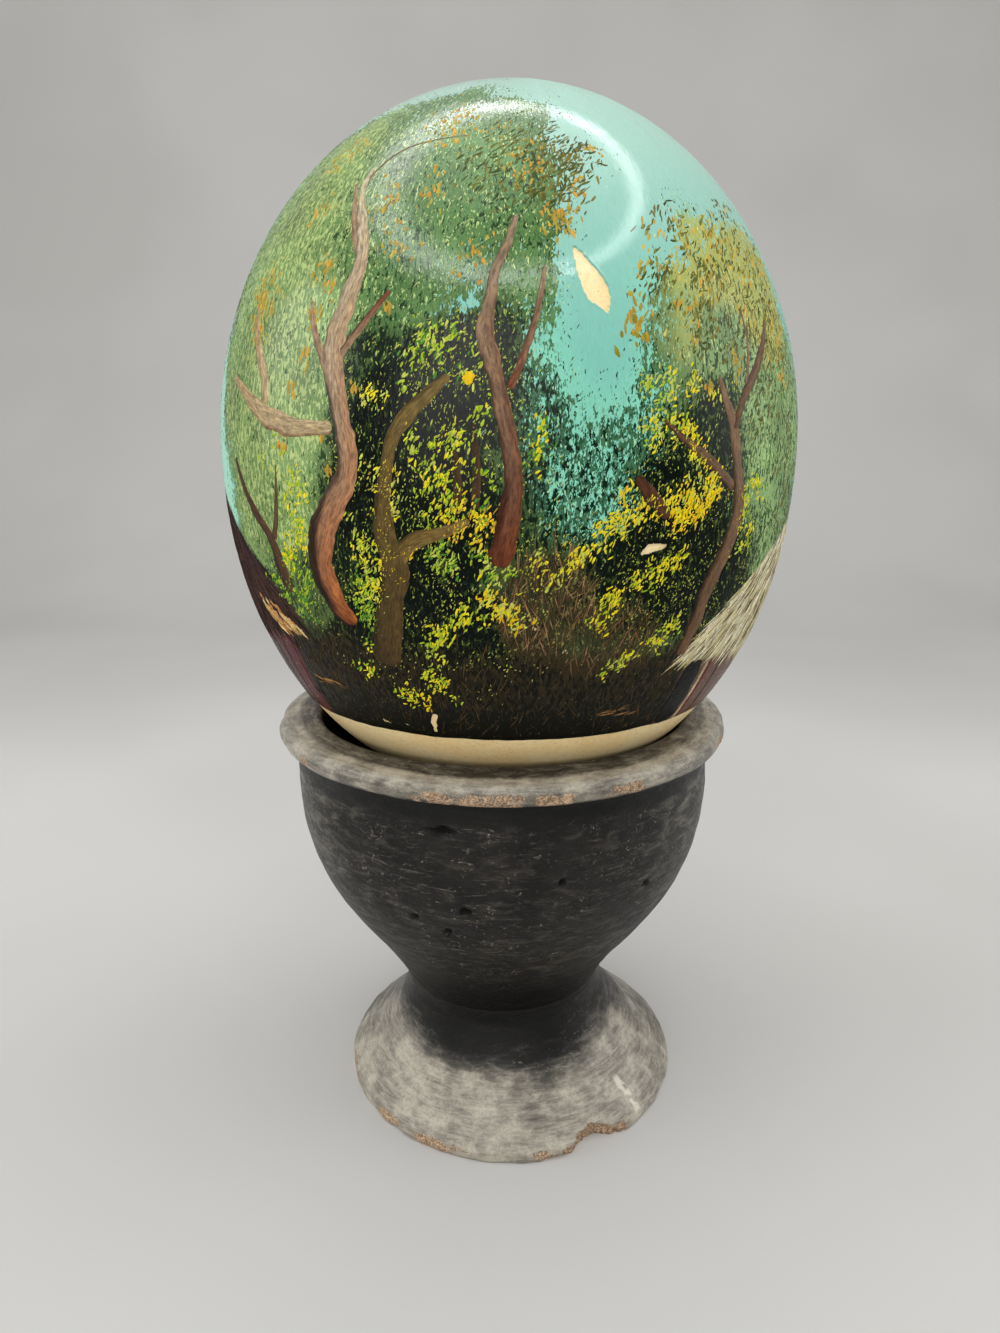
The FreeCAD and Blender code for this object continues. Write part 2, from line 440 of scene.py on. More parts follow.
def clay_axis(z):
    """The clay's axis leans below the waist and meets the bowl's there."""
    lean = FOOT_AXIS_X - FOOT_LEAN * z
    meet = BOWL_AXIS_X - (FOOT_AXIS_X - FOOT_LEAN * WAIST_Z)
    return np.where(z > WAIST_Z, BOWL_AXIS_X, lean + meet * ease(z, 10.0, WAIST_Z))


def hand_lumps(points, run):
    """Unevenness of a pot thrown and burnished by hand, in mm along the radius."""
    ringed = np.column_stack([points[:, :2] * 0.12, run])
    return (0.34 * lumps(points, 27.0, 3) + 0.14 * lumps(points, 9.0, 4) + 0.05 * lumps(points, 2.6, 5)
            + 0.10 * lumps(ringed, 3.4, 6) + 0.04 * lumps(ringed, 1.3, 7))


def worn(azimuth, marks):
    """Strength of the strongest mark at each azimuth."""
    total = np.zeros(len(azimuth))
    for middle, half, strength in marks:
        total = np.maximum(total, strength * ease(1.0 - np.abs(wrap(azimuth - middle)) / half, 0.0, 0.7))
    return total


def pot_mesh(name, points, shape):
    """A turned grid with its first row closed by one face."""
    faces = rows_of_quads(*shape)
    faces.append(tuple(range(shape[1] - 1, -1, -1)))
    return mesh_object(name, points, faces)


def pushed(points, shift, radius):
    """Points moved `shift` mm out from the axis."""
    points[:, :2] *= (1.0 + shift / np.maximum(radius, 6.0))[:, None]
    return points


def build_bowl():
    profile = outline("stand_bowl", BOWL_AXIS_X, 0.0)
    profile = np.vstack([profile[0] - (0.8, WAIST_TUCK), profile, [0.0, profile[-1, 1]]])

    def spacing(radius, z):
        if z > GROOVE_Z - 1.5 and radius > 44.0:
            return 0.42
        return 0.75 if radius > 45.0 or z > 60.0 else 1.3

    shape, run, radius, z, azimuth = turned(profile, spacing, BOWL_COLUMNS)
    top_run = run[np.argmax(z)]
    outside = run <= top_run
    points = around(radius, z, azimuth)
    shift = hand_lumps(points, run) * ease(z, WAIST_Z, WAIST_Z + 5.0)
    shift = np.where(outside, shift, np.abs(shift) * 0.5 * ease(radius, 2.0, 12.0))
    pits = np.zeros(len(z))
    for middle, height, half_width, half_height, depth in BOWL_PITS:
        gap_u = np.radians(wrap(azimuth - middle)) * radius / (1.15 * half_width)
        gap_v = (z - height) / (1.15 * half_height)
        gap = np.hypot(gap_u, gap_v) + 0.25 * lumps(points, 0.9, 11)
        pit = np.where(outside & (radius > 30), ease(1.15 - gap, 0.0, 0.5), 0.0)
        shift -= depth * 1.9 * pit
        pits = np.maximum(pits, pit)
    on_lip = ease(z, 94.4, 96.4) * ease(radius, 45.0, 47.5)
    wear = worn(azimuth, LIP_WEAR)
    nibble = on_lip * (wear * (0.55 + 0.45 * rough(points, 2.4, 15, 3)) + 0.12 * rough(points, 1.6, 18, 2))
    edge = ease(radius, 51.0, 54.6)
    shift -= np.clip(nibble, 0.0, 1.0) * 0.9 * edge
    drop = np.clip(nibble, 0.0, 1.0) * 0.45 * on_lip + 0.05 * on_lip * rough(points, 1.4, 21, 2)
    points = pushed(points, shift, radius)
    points[:, 2] -= drop
    points[:, 0] += BOWL_AXIS_X
    bowl = pot_mesh("bowl", points, shape)
    ridge = ease(radius, 51.4, 53.4) * ease(-np.abs(z - 96.2), -2.4, -0.9)
    ragged = 0.5 + 0.7 * rough(points, 2.2, 25, 4)
    tan = np.clip(ridge * (wear * (0.45 + 0.9 * ragged) + 0.22 * ragged), 0.0, 1.0)
    give(bowl, "turned", np.column_stack([points[:, :2], run]))
    give(bowl, "tan", tan)
    give(bowl, "pit", pits)
    give(bowl, "pale_streak", np.zeros(len(z)))
    # Painted highlight: the lip is lighter, most along its crest, and so are the bowl's upper sides, where
    # light from above catches them; the same number also sets the polished gloss.
    lit_sides = ease(np.abs(azimuth), 22.0, 62.0)
    crest_highlight = on_lip * ease(-np.abs(radius - 52.6), -3.4, -0.4)
    burnish_and_highlight = 0.04 + 0.17 * on_lip + 0.72 * crest_highlight + 0.14 * lit_sides * ease(z, 50.0, 75.0)
    give(bowl, "burnish_and_highlight", np.clip(burnish_and_highlight, 0.0, 1.0))
    # Painted shade: darker under the lip, low on the bowl and down inside it.
    under_lip = ease(-np.abs(z - GROOVE_Z + 1.0), -3.6, -1.2)
    inside = np.where(outside, 0.0, ease(-z, -97.0, -88.0))
    give(bowl, "painted_shade", np.clip(ease(-z, -50.0, -33.0) + under_lip + inside, 0, 1))
    return bowl


def bitten(azimuth, z):
    """Distance from the foot's axis at which the broken edge starts, or a large number."""
    limit = np.full(len(azimuth), 1e3)
    for middle, distance, height, size in CHIP_BITES:
        turn = np.radians(wrap(azimuth - middle))
        under = size ** 2 - (distance * np.sin(turn)) ** 2 - (z - height) ** 2
        near = distance * np.cos(turn) - np.sqrt(np.clip(under, 0.0, None))
        limit = np.where((under > 0) & (np.abs(turn) < 0.6), np.minimum(limit, near), limit)
    return limit


def build_foot():
    profile = outline("stand_foot", FOOT_AXIS_X, FOOT_LEAN)
    profile = np.vstack([profile[0] + (-0.8, WAIST_TUCK), profile, [0.0, profile[-1, 1]]])

    def spacing(radius, z):
        if radius > RECESS_RADIUS - 0.5 and z < 9.0:
            return 0.4
        return 0.8 if z < WAIST_Z and radius > 24.0 else 1.5

    shape, run, radius, z, azimuth = turned(profile, spacing, FOOT_COLUMNS)
    rest_run = run[np.argmin(np.where(radius > 40.0, z, 99.0))]
    outside = run <= rest_run
    points = around(radius, z, azimuth)
    held = ease(z, 0.0, 3.0) * ease(-z, -WAIST_Z, -WAIST_Z + 5.0)
    shift = hand_lumps(points, run) * np.where(outside, held, 0.25)
    limit = bitten(azimuth, z) + 1.3 * rough(points, 3.0, 31, 4) + 0.5 * lumps(points, 0.9, 46)
    crumbled = ease(-np.abs(azimuth - 25.0), -21.0, -15.0) * ease(-z, -3.4, -1.0)
    limit = np.minimum(limit, 99.0 - 56.6 * crumbled + 0.8 * rough(points, 1.9, 43, 3))
    outer = np.where(outside, radius, REST_RADIUS)
    keep = np.clip((limit - RECESS_RADIUS) / np.maximum(outer - RECESS_RADIUS, 0.1), 0.05, 1.0)
    at_rim = radius > RECESS_RADIUS
    broken = at_rim & (keep < 1.0)
    radius = np.where(broken, RECESS_RADIUS + (radius - RECESS_RADIUS) * keep, radius)
    rim_wear = ease(radius, 41.0, 43.2) * np.clip(0.4 + 0.8 * rough(points, 4.0, 35, 3), 0.0, 1.0)
    radius = radius - 0.35 * rim_wear * np.where(outside, 1.0, 0.0)
    points = pushed(around(radius, z, azimuth), shift, radius)
    points[:, 0] += clay_axis(z)
    foot = pot_mesh("foot", points, shape)
    fresh = np.where(broken, ease(1.0 - keep, 0.0, 0.12), 0.0)
    edge = ease(radius, 41.2, 42.9) * ease(-z, -4.0, -1.8)
    tan = np.clip(fresh + edge * (0.36 + 0.7 * rough(points, 5.0, 38, 3)), 0.0, 1.0)
    front = 0.5 + 0.5 * ease(-np.abs(azimuth + 4.0), -110.0, -45.0)
    give(foot, "turned", np.column_stack([points[:, :2], run]))
    give(foot, "tan", tan)
    give(foot, "pit", np.zeros(len(z)))
    # A pale streak up the foot's flare.
    across = np.abs(np.radians(azimuth - SMEAR_AZIMUTH)) * radius + 0.5 * rough(points, 1.6, 48, 3)
    smear = ease(-across, -1.1, -0.7) * ease(z, *SMEAR_FOOT) * ease(-z, *SMEAR_HEAD)
    smear = smear * ease(rough(points, 1.1, 49, 2), -0.6, 0.0)
    give(foot, "pale_streak", np.where(outside, smear, 0.0))
    # Painted highlight: the foot's flare is lighter where it faces the light from above, most at the front;
    # the same number also sets the polished gloss.
    cloud = 0.80 + 0.40 * rough(points, 14.0, 41, 2)
    flare = ease(radius + 2.5 * ease(np.abs(azimuth), 25.0, 60.0), 27.5, 37.0)
    give(foot, "burnish_and_highlight", np.clip(0.05 + 1.10 * flare * front * cloud, 0.0, 1.0))
    # Painted shadow of the bowl: darker at the foot's waist, most at the front, and inside the foot.
    waist = ease(z + 2.0 * rough(points, 9.0, 44, 2), 13.0, 23.0)
    waist = waist * (0.35 + 0.65 * ease(-np.abs(azimuth), -65.0, -25.0))
    give(foot, "painted_shade", np.clip(waist + np.where(outside, 0.0, 0.6), 0, 1))
    return foot


def clay(name):
    """Black burnished clay: dark body, silvery smears along the turning and bare tan clay where worn, with
    painted silvery highlights and painted shade.
    """
    p = Paint(name)
    turned_at = p.stored("turned", "Vector")
    tan, burnish_and_highlight, painted_shade, pit = (p.stored(k) for k in ("tan", "burnish_and_highlight", "painted_shade", "pit"))
    place = p.millimetres()
    smear = p.noise(p.place(turned_at, (0.34, 0.34, 1.0)), 0.50, 8.0, 0.70, 0.6)
    streak = p.noise(p.place(turned_at, (0.14, 0.14, 1.0)), 1.3, 6.0, 0.70, 0.5)
    patchy = p.noise(p.place(place, move=(31, 7, 12)), 0.055, 3.0, 0.6)
    blotch = p.noise(place, 0.12, 5.0, 0.62)
    grain = p.noise(place, 2.6, 4.0, 0.65)
    fleck = p.noise(place, 1.1, 6.0, 0.74)
    # Painted shade: the shaded parts and the pits are darkened, and the light streaks, flecks and scratches
    # are kept out of them.
    all_painted_shade = p.math("MAXIMUM", painted_shade, pit)
    outside_shade = p.math("SUBTRACT", 1.0, all_painted_shade)
    body = p.mix(p.ramp(blotch, 0.34, 0.66), linear(12, 11, 10), linear(30, 27, 24))
    share = p.times(p.ramp(smear, 0.48, 0.68), p.ramp(patchy, 0.36, 0.62, 0.15, 0.8))
    body = p.mix(share, body, linear(56, 52, 47))
    share = p.times(p.ramp(streak, 0.57, 0.70), p.ramp(patchy, 0.62, 0.38, 0.10, 0.8))
    body = p.mix(p.times(share, outside_shade), body, linear(118, 112, 103))
    share = p.times(p.ramp(fleck, 0.58, 0.69), p.ramp(burnish_and_highlight, 0.0, 0.4, 0.35, 0.9))
    body = p.mix(p.times(share, outside_shade), body, linear(120, 113, 104))
    # Painted highlight: silvery colour where the clay catches the light.
    silver_highlight = p.mix(p.ramp(streak, 0.34, 0.68), linear(112, 106, 96), linear(168, 161, 145))
    silver_highlight = p.mix(p.ramp(smear, 0.50, 0.68, 0.0, 0.5), silver_highlight, linear(198, 190, 170))
    silver_highlight = p.mix(p.ramp(blotch, 0.40, 0.66, 0.0, 0.6), silver_highlight, linear(214, 206, 185))
    silver_highlight = p.mix(p.ramp(fleck, 0.52, 0.40, 0.0, 0.25), silver_highlight, linear(80, 75, 68))
    share = p.ramp(p.plus(burnish_and_highlight, p.ramp(smear, 0.35, 0.65, -0.10, 0.10)), 0.05, 0.85)
    body = p.mix(share, body, silver_highlight)
    # Painted shade: near black in the shaded parts and the pits.
    body = p.mix(p.times(all_painted_shade, p.ramp(fleck, 0.30, 0.62, 1.0, 0.80)), body, linear(5, 5, 5))
    bare = p.mix(p.ramp(grain, 0.35, 0.68), linear(128, 100, 78), linear(220, 192, 160))
    bare = p.mix(p.ramp(fleck, 0.49, 0.60, 0.0, 0.75), bare, linear(92, 74, 60))
    tan_share = p.ramp(p.plus(tan, p.ramp(fleck, 0.3, 0.7, -0.34, 0.34)), 0.42, 0.50)
    colour = p.mix(tan_share, body, bare)
    scratch_at = p.place(turned_at, (0.25, 0.25, 0.35), (2, 5, 9))
    scratch = p.ramp(p.math("ABSOLUTE", p.math("SUBTRACT", p.noise(scratch_at, 0.35, 5.0, 0.6), 0.5)),
                     0.0, 0.006, 1.0, 0.0)
    scratch = p.times(p.times(scratch, p.ramp(fleck, 0.50, 0.60)), outside_shade)
    colour = p.mix(p.times(scratch, 0.6), colour, linear(190, 182, 170))
    colour = p.mix(p.times(p.stored("pale_streak"), 0.85), colour, linear(226, 222, 204))
    gloss = p.plus(p.ramp(smear, 0.35, 0.68, 0.48, 0.36), p.ramp(grain, 0.3, 0.7, -0.05, 0.07))
    gloss = p.plus(gloss, p.times(p.math("MAXIMUM", tan_share, pit), 0.40))
    pores = p.ramp(p.cells(place, 0.55), 0.04, 0.2)
    normal = p.bump(grain, 0.00012, 0.5)
    normal = p.bump(fleck, 0.00020, 0.5, normal)
    normal = p.bump(streak, 0.00024, 0.5, normal)
    normal = p.bump(smear, 0.00045, 0.5, normal)
    rough_skin = p.bump(pores, 0.00018, 0.35, normal)
    sheen = p.times(burnish_and_highlight, p.ramp(tan_share, 0.0, 1.0, 0.9, 0.0))
    return p.finish(Base_Color=colour, Roughness=gloss, Normal=rough_skin, Specular_IOR_Level=0.20,
                    Coat_Weight=sheen, Coat_Roughness=0.26, Coat_Normal=normal)


def add_stand():
    bowl, foot = build_bowl(), build_foot()
    for obj, node, slot in ((bowl, "stand_bowl", "bowl_clay"), (foot, "stand_foot", "foot_clay")):
        dress(obj, clay(node))
        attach(obj, "stand")
        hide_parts(node)


add_stand()

# ------------------------------------------------------------------ the painting


def blend(first, second, share):
    """Moves first towards second; both may be colours."""
    first, share = np.asarray(first, float), np.asarray(share, float)
    if first.ndim == 2:
        share = share[:, None]
    return first + (np.asarray(second, float) - first) * share


def spots(azimuth, s, listed, seed, soft=0.45):
    """1 well inside any listed ellipse (azimuth, s, half width, half height, strength), 0 outside."""
    total = np.zeros(len(s))
    wander = 0.20 * rough(on_egg(azimuth, s), 11.0, seed, 4)
    radius = radius_at(s)
    for middle, level, half_width, half_height, strength in listed:
        gap = np.hypot(np.radians(wrap(azimuth - middle)) * radius / half_width, (s - level) / half_height)
        total = np.maximum(total, strength * ease(1.0 + soft / 2 - gap - wander, 0.0, soft))
    return total


def patch(azimuth, s, corners, soft=0.9):
    """1 inside a patch given by corners (azimuth, s), 0 outside, changing over `soft` mm."""
    corners = np.array(corners, float)
    middle = corners[:, 0].mean()
    radius = radius_at(s)
    u = np.radians(wrap(azimuth - middle)) * radius
    gap = np.full(len(s), 1e9)
    inside = np.zeros(len(s), bool)
    for k in range(len(corners)):
        (az_1, v_1), (az_2, v_2) = corners[k], corners[(k + 1) % len(corners)]
        u_1, u_2 = np.radians(az_1 - middle) * radius, np.radians(az_2 - middle) * radius
        run_u, run_v = u_2 - u_1, v_2 - v_1
        along = ((u - u_1) * run_u + (s - v_1) * run_v) / (run_u ** 2 + run_v ** 2 + 1e-9)
        along = np.clip(along, 0.0, 1.0)
        gap = np.minimum(gap, np.hypot(u - u_1 - along * run_u, s - v_1 - along * run_v))
        crosses = (v_1 > s) != (v_2 > s)
        with np.errstate(divide="ignore", invalid="ignore"):
            at = u_1 + (s - v_1) * run_u / run_v
        inside ^= crosses & (u < at)
    return ease(np.where(inside, gap, -gap), -soft / 2, soft / 2)


# Patches of the painting as ellipses: azimuth, s, half width, half height, strength.
CANOPY = (
    (-40, 42, 27, 30, 1.0), (-54, 26, 20, 32, 1.0), (-44, 2, 22, 24, 1.0), (-27, 62, 16, 13, 0.8),
    (-62, 48, 15, 22, 0.9), (-26, 30, 18, 30, 1.0), (-12, 50, 19, 24, 1.0), (-3, 62, 11, 11, 0.9),
    (10, 53, 9, 7, 0.66), (1, 36, 9, 15, 0.92), (46, 12, 24, 26, 1.0), (38, 30, 15, 15, 0.62),
    (52, 30, 12, 17, 0.7), (48, -18, 16, 16, 1.0), (24, 16, 6, 10, 0.7), (64, 2, 18, 26, 0.9),
    (29, 14, 9, 18, 0.8), (20, -10, 14, 16, 0.9), (-104, 30, 25, 30, 1.0), (-124, 22, 22, 26, 0.95),
    (-86, 6, 18, 14, 0.8), (-146, 38, 16, 18, 0.7), (176, 6, 20, 13, 0.8), (146, 34, 27, 28, 1.0),
    (124, 18, 18, 24, 0.9), (166, 24, 14, 18, 0.8), (96, 4, 16, 16, 0.75), (100, 30, 11, 14, 0.5),
    (84, -14, 16, 12, 0.9), (102, -16, 12, 10, 0.8))
UNDERSTORY = (
    (-16, -8, 19, 24, 1.0), (-8, 12, 12, 14, 0.95), (-22, 8, 8, 14, 0.75), (-14, -30, 24, 13, 1.0),
    (28, -20, 20, 16, 1.0), (14, -22, 12, 9, 0.9), (31, -2, 12, 16, 0.92), (40, -28, 10, 14, 0.9),
    (24, -9, 9, 10, 1.0), (-38, -32, 12, 10, 0.5), (4, -8, 6, 22, 0.8), (18, -14, 10, 9, 1.0),
    (-28, -17, 8, 11, 0.9), (-36, -24, 8, 9, 0.6), (-98, -24, 18, 14, 0.9), (-120, -12, 20, 20, 0.95),
    (-140, -26, 20, 13, 0.9), (160, -24, 16, 12, 0.8), (140, -8, 20, 18, 0.95), (122, -24, 18, 14, 0.9),
    (104, -26, 12, 14, 0.8), (-172, -16, 16, 8, 0.6), (90, -19, 14, 8, 0.8))
SKY_GAPS = (
    (14, 24, 6, 13, 1.0), (-69, 2, 5, 22, 1.0), (19, 42, 10, 13, 1.0), (18, 58, 9, 8, 0.9),
    (11, 33, 5, 8, 0.9), (70, 40, 6, 24, 0.9), (-76, 34, 7, 26, 0.7), (112, 36, 6, 22, 0.8),
    (-166, 34, 12, 22, 0.9), (-134, 8, 5, 9, 0.5), (132, 6, 6, 10, 0.45), (80, 20, 6, 14, 0.7))
TEAL = ((11, -3, 9, 12, 1.0), (7, 8, 7, 15, 0.8), (17, 8, 8, 12, 0.85), (22, 24, 5, 12, 0.5),
        (-134, 8, 6, 9, 0.8), (132, 6, 7, 10, 0.8), (-74, -6, 6, 14, 0.6))
CROWN = ((40, 36, 17, 9, 1.0), (52, 32, 10, 15, 1.0), (27, 26, 6, 9, 0.6), (146, 52, 18, 8, 0.8),
         (-108, 52, 16, 8, 0.7))

RIGHT_ROOF = ((66, -13.5), (61.7, -16.2), (55.6, -19.2), (50, -23.4), (45.6, -26.8), (40, -32.1),
              (34.2, -38.9), (38, -39.6), (46, -39.2), (58, -40.8), (70, -41.4), (84, -41), (99, -39),
              (92, -31), (82, -22), (73, -15.5))
RIGHT_WALL = ((37.2, -39), (60, -39), (78, -40), (92, -39), (90, -59), (36.5, -59))
LEFT_ROOF = ((-72, -6.5), (-65.5, -10.8), (-58.9, -15.6), (-50.6, -22.2), (-45, -28.6), (-41.7, -33.5),
             (-52, -36), (-66, -37), (-84, -36), (-101, -34), (-92, -25), (-82, -13))
LEFT_WALL = ((-48, -34), (-62, -36), (-80, -36), (-94, -34), (-92, -59), (-50, -59))
BACK_ROOF = ((182, -9), (170, -20), (160, -29), (172, -31), (186, -31.4), (201, -30), (193, -19))
BACK_WALL = ((165, -30), (197, -30), (196, -46), (166, -46))
PATH = ((128, -33), (138, -36), (150, -48), (166, -59), (128, -59), (120, -46), (122, -38))

DRY_GRASS = ((6, -26, 9, 11, 1.0), (16, -33, 12, 8, 0.8), (-150, -38, 14, 6, 0.8), (110, -36, 12, 6, 0.7))
SKY_HIGH, SKY_LOW = linear(164, 200, 188), linear(128, 198, 184)
# Huts and path: outline, colour, second colour. A later one covers an earlier one.
BUILT = (
    (RIGHT_WALL, linear(104, 76, 66), linear(60, 42, 40)), (LEFT_WALL, linear(84, 40, 42),
    linear(40, 24, 26)), (BACK_WALL, linear(126, 88, 62), linear(80, 52, 40)), (PATH, linear(156, 126, 88),
    linear(104, 82, 56)), (RIGHT_ROOF, linear(226, 212, 168), linear(120, 106, 78)), (LEFT_ROOF,
    linear(52, 36, 34), linear(32, 24, 26)), (BACK_ROOF, linear(186, 160, 104), linear(96, 78, 52)))


def scenery(azimuth, s):
    """The colours the brush left at each place and how densely each covers the one below."""
    size = len(s)
    points = on_egg(azimuth, s)
    here = {"under": blend(np.tile(SKY_LOW, (size, 1)), SKY_HIGH, ease(s, 8.0, 70.0))}

    def change(share, **wanted):
        """Moves the named layers towards new colours or densities."""
        for key, value in wanted.items():
            here[key] = blend(here[key], value, share)

    change(0.9 * ease(-azimuth, 52, 66) * ease(azimuth, -104, -88) * ease(-s, -34, -18),
           under=linear(178, 236, 212))
    for key, *colour in (("mid", 84, 124, 72), ("light", 182, 202, 132), ("dark", 32, 58, 32)):
        here[key] = np.tile(linear(*colour), (size, 1))
    shade = 0.5 + 0.5 * lumps(points, 16.0, 61)
    left = ease(-azimuth, 18.0, 40.0) * ease(azimuth, -150.0, -120.0)
    right = ease(azimuth, 20.0, 34.0) * ease(-azimuth, -150.0, -120.0)
    change(0.75 * left, mid=linear(120, 148, 88))
    change(left, light=linear(176, 194, 124))
    far_left = left * ease(-azimuth, 46.0, 64.0) * ease(s, 4.0, 20.0)
    change(0.7 * far_left, mid=linear(78, 122, 62))
    change(0.5 * far_left, light=linear(136, 170, 92))
    change(0.85 * left, dark=linear(50, 84, 40))
    change(0.6 * ease(shade, 0.5, 0.9), mid=linear(54, 98, 46))
    change(0.8 * right, mid=linear(146, 180, 116), light=linear(198, 216, 152))
    change(0.6 * right, dark=linear(66, 96, 54))
    for key, amount in (("mid", 0.30), ("light", 0.16), ("dark", 0.3)):
        here[key] = here[key] * (1.0 + amount * rough(points * (1, 1, 0.6), 6.5, 67, 3))[:, None]
    cover = spots(azimuth, s, CANOPY, 50, 0.7)
    low = ease(-s + 4.5 * rough(points, 5.0, 65, 3), 9.0, 17.0)
    change(low * (1.0 - ease(-azimuth, 60.0, 64.0) * ease(azimuth, -84.0, -78.0)), under=linear(50, 62, 36))
    gaps = spots(azimuth, s, SKY_GAPS, 55, 0.95)
    crown = spots(azimuth, s, CROWN, 59)
    cover = cover * (1.0 - 0.92 * gaps)
    here["shade"] = cover * (0.38 + 0.20 * (shade - 0.5) + 0.10 * right)
    here["glint"] = cover * (0.34 + 0.14 * left)
    change(0.7 * crown, mid=linear(184, 178, 92), light=linear(222, 216, 134))
    change(0.6 * crown, dark=linear(110, 112, 52))
    here["leaf"] = np.maximum(cover, 0.44 * crown * (1.0 - gaps))
    here["shade"] = np.maximum(here["shade"], 0.26 * crown * (1.0 - gaps))
    bush = spots(azimuth, s, UNDERSTORY, 57) * (1.0 - 0.5 * gaps)
    change(bush, mid=linear(26, 44, 20), dark=linear(8, 16, 10), light=linear(150, 166, 70))
    here["leaf"] = np.maximum(here["leaf"], bush)
    teal = spots(azimuth, s, TEAL, 60, 0.8) * (1.0 - gaps)
    change(0.85 * teal, under=linear(142, 222, 194))
    change(0.9 * teal, mid=linear(36, 88, 60), light=linear(160, 228, 196), dark=linear(8, 34, 22))
    change(bush, shade=0.62, glint=0.16)
    change(teal, leaf=0.56, shade=0.46, glint=0.34)
    ground = ease(-s + 2.5 * rough(points, 9.0, 64, 2), 30.0, 38.0)
    dry = spots(azimuth, s, DRY_GRASS, 66)
    change(ground, under=linear(38, 33, 22), mid=linear(50, 42, 27), light=linear(84, 72, 46),
           dark=linear(20, 20, 14), leaf=0.5, shade=0.5 + 0.3 * ease(-s, 44, 56), glint=0.14)
    change(0.85 * dry, mid=linear(50, 40, 24), light=linear(112, 92, 64))
    change(dry, leaf=0.75, shade=0.36, glint=0.4)
    solid = np.zeros(size)
    for corners, colour, other in BUILT:
        share = patch(azimuth, s, corners)
        change(share, under=colour, mid=other, light=blend(colour, (1.0, 0.95, 0.8), 0.35),
               leaf=0.30, shade=0.0, glint=0.22)
        solid = np.maximum(solid, share)
    here.update(solid=solid, teal=teal, bush=bush, ground=ground, dry=dry)
    here["sky"] = 1.0 - np.maximum.reduce([here["leaf"], ground, solid])
    return here


# The modelled shell stands a little proud of the plain outline just short of the pole.
CROWN_RISE, CROWN_RISE_AT = 0.26, 100.5

# Chips as chains of (azimuth, s, half width): the paint has flaked off and the shell shows.
CHIPS = (
    ((10.4, 35.0, 0.15), (11.0, 33.6, 0.8), (11.9, 31.6, 1.5), (13.1, 28.8, 2.1), (14.2, 26.4, 1.7),
     (15.0, 24.2, 0.35)),
    ((21.2, -15.7, 0.3), (22.6, -14.9, 0.8), (24.2, -14.6, 0.8), (25.7, -14.4, 0.3)),
    ((-16.1, -50.2, 0.6), (-16.8, -52.0, 0.7), (-17.0, -54.8, 0.35)),
    ((-29.5, -53.6, 0.45), (-28.6, -53.9, 0.3)), ((9.6, -34.0, 0.4), (9.9, -34.3, 0.3)),
    ((3.7, -29.0, 0.3), (3.9, -29.2, 0.2)), ((-24.0, -53.7, 0.25), (-23.4, -53.8, 0.2)),
    ((118.0, -2.0, 0.5), (119.4, -1.0, 1.0), (121.0, -1.4, 0.4)),
    ((-152.0, 40.0, 0.4), (-150.8, 38.0, 1.2), (-150.0, 35.5, 0.5)))
CHIP_CELLS = 6
PAINT_COLUMNS, PAINT_ROWS = 512, 184


def chip_gap(azimuth, s, points, chip):
    """Distance in mm outside the chip's ragged outline, negative inside it."""
    radius = radius_at(s)
    gap = np.full(len(s), 1e3)
    for (az_1, v_1, w_1), (az_2, v_2, w_2) in zip(chip, chip[1:]):
        u = np.radians(wrap(azimuth - az_1)) * radius
        run_u, run_v = math.radians(az_2 - az_1) * radius, v_2 - v_1
        along = np.clip((u * run_u + (s - v_1) * run_v) / (run_u ** 2 + run_v ** 2), 0.0, 1.0)
        away = np.hypot(u - along * run_u, s - v_1 - along * run_v)
        gap = np.minimum(gap, away - w_1 - along * (w_2 - w_1))
    return gap + 0.32 * rough(points, 1.5, 71, 3)


def unchipped(azimuth, s, margin=0.7):
    """True where paint is left."""
    points = on_egg(azimuth, s)
    return np.minimum.reduce([chip_gap(azimuth, s, points, chip) for chip in CHIPS]) > margin


# The two trunks nearest the eye, as chains like the chips: no leaf is painted over them.
NEAR_TRUNKS = (
    ((-28.0, -29.8, 1.4), (-31.6, -26, 2.2), (-33.4, -18, 2.8), (-31, -10, 2.8), (-27.0, -4, 2.2),
    (-26.0, 2, 1.8), (-27.5, 9, 1.6), (-28.7, 15, 1.6), (-29, 20, 1.5)), ((-1.1, -12.0, 1.6),
    (0.0, -6, 1.6), (0.1, 0, 1.4), (-1.1, 7, 1.3), (-2.1, 12, 1.2), (-3.3, 17, 1.2)))


def beside_trunks(azimuth, s):
    """True away from the near trunks."""
    points = on_egg(azimuth, s)
    return np.minimum.reduce([chip_gap(azimuth, s, points, trunk) for trunk in NEAR_TRUNKS]) > 0.0


def coat_height(azimuth, s):
    """How far the paint stands off the shell, before the chips."""
    points = on_egg(azimuth, s)
    relief = 0.014 * rough(points, 2.0, 81, 3) + 0.008 * rough(points * (1, 1, 0.4), 1.1, 84, 2)
    relief = relief * (0.30 + 0.70 * np.maximum(spots(azimuth, s, CANOPY, 50, 0.7), ease(-s, -10.0, 10.0)))
    over_crown = CROWN_RISE * np.exp(-((s - CROWN_RISE_AT) / 4.5) ** 2)
    return PAINT_FILM + over_crown + relief * ease(-s, -104.0, -80.0)


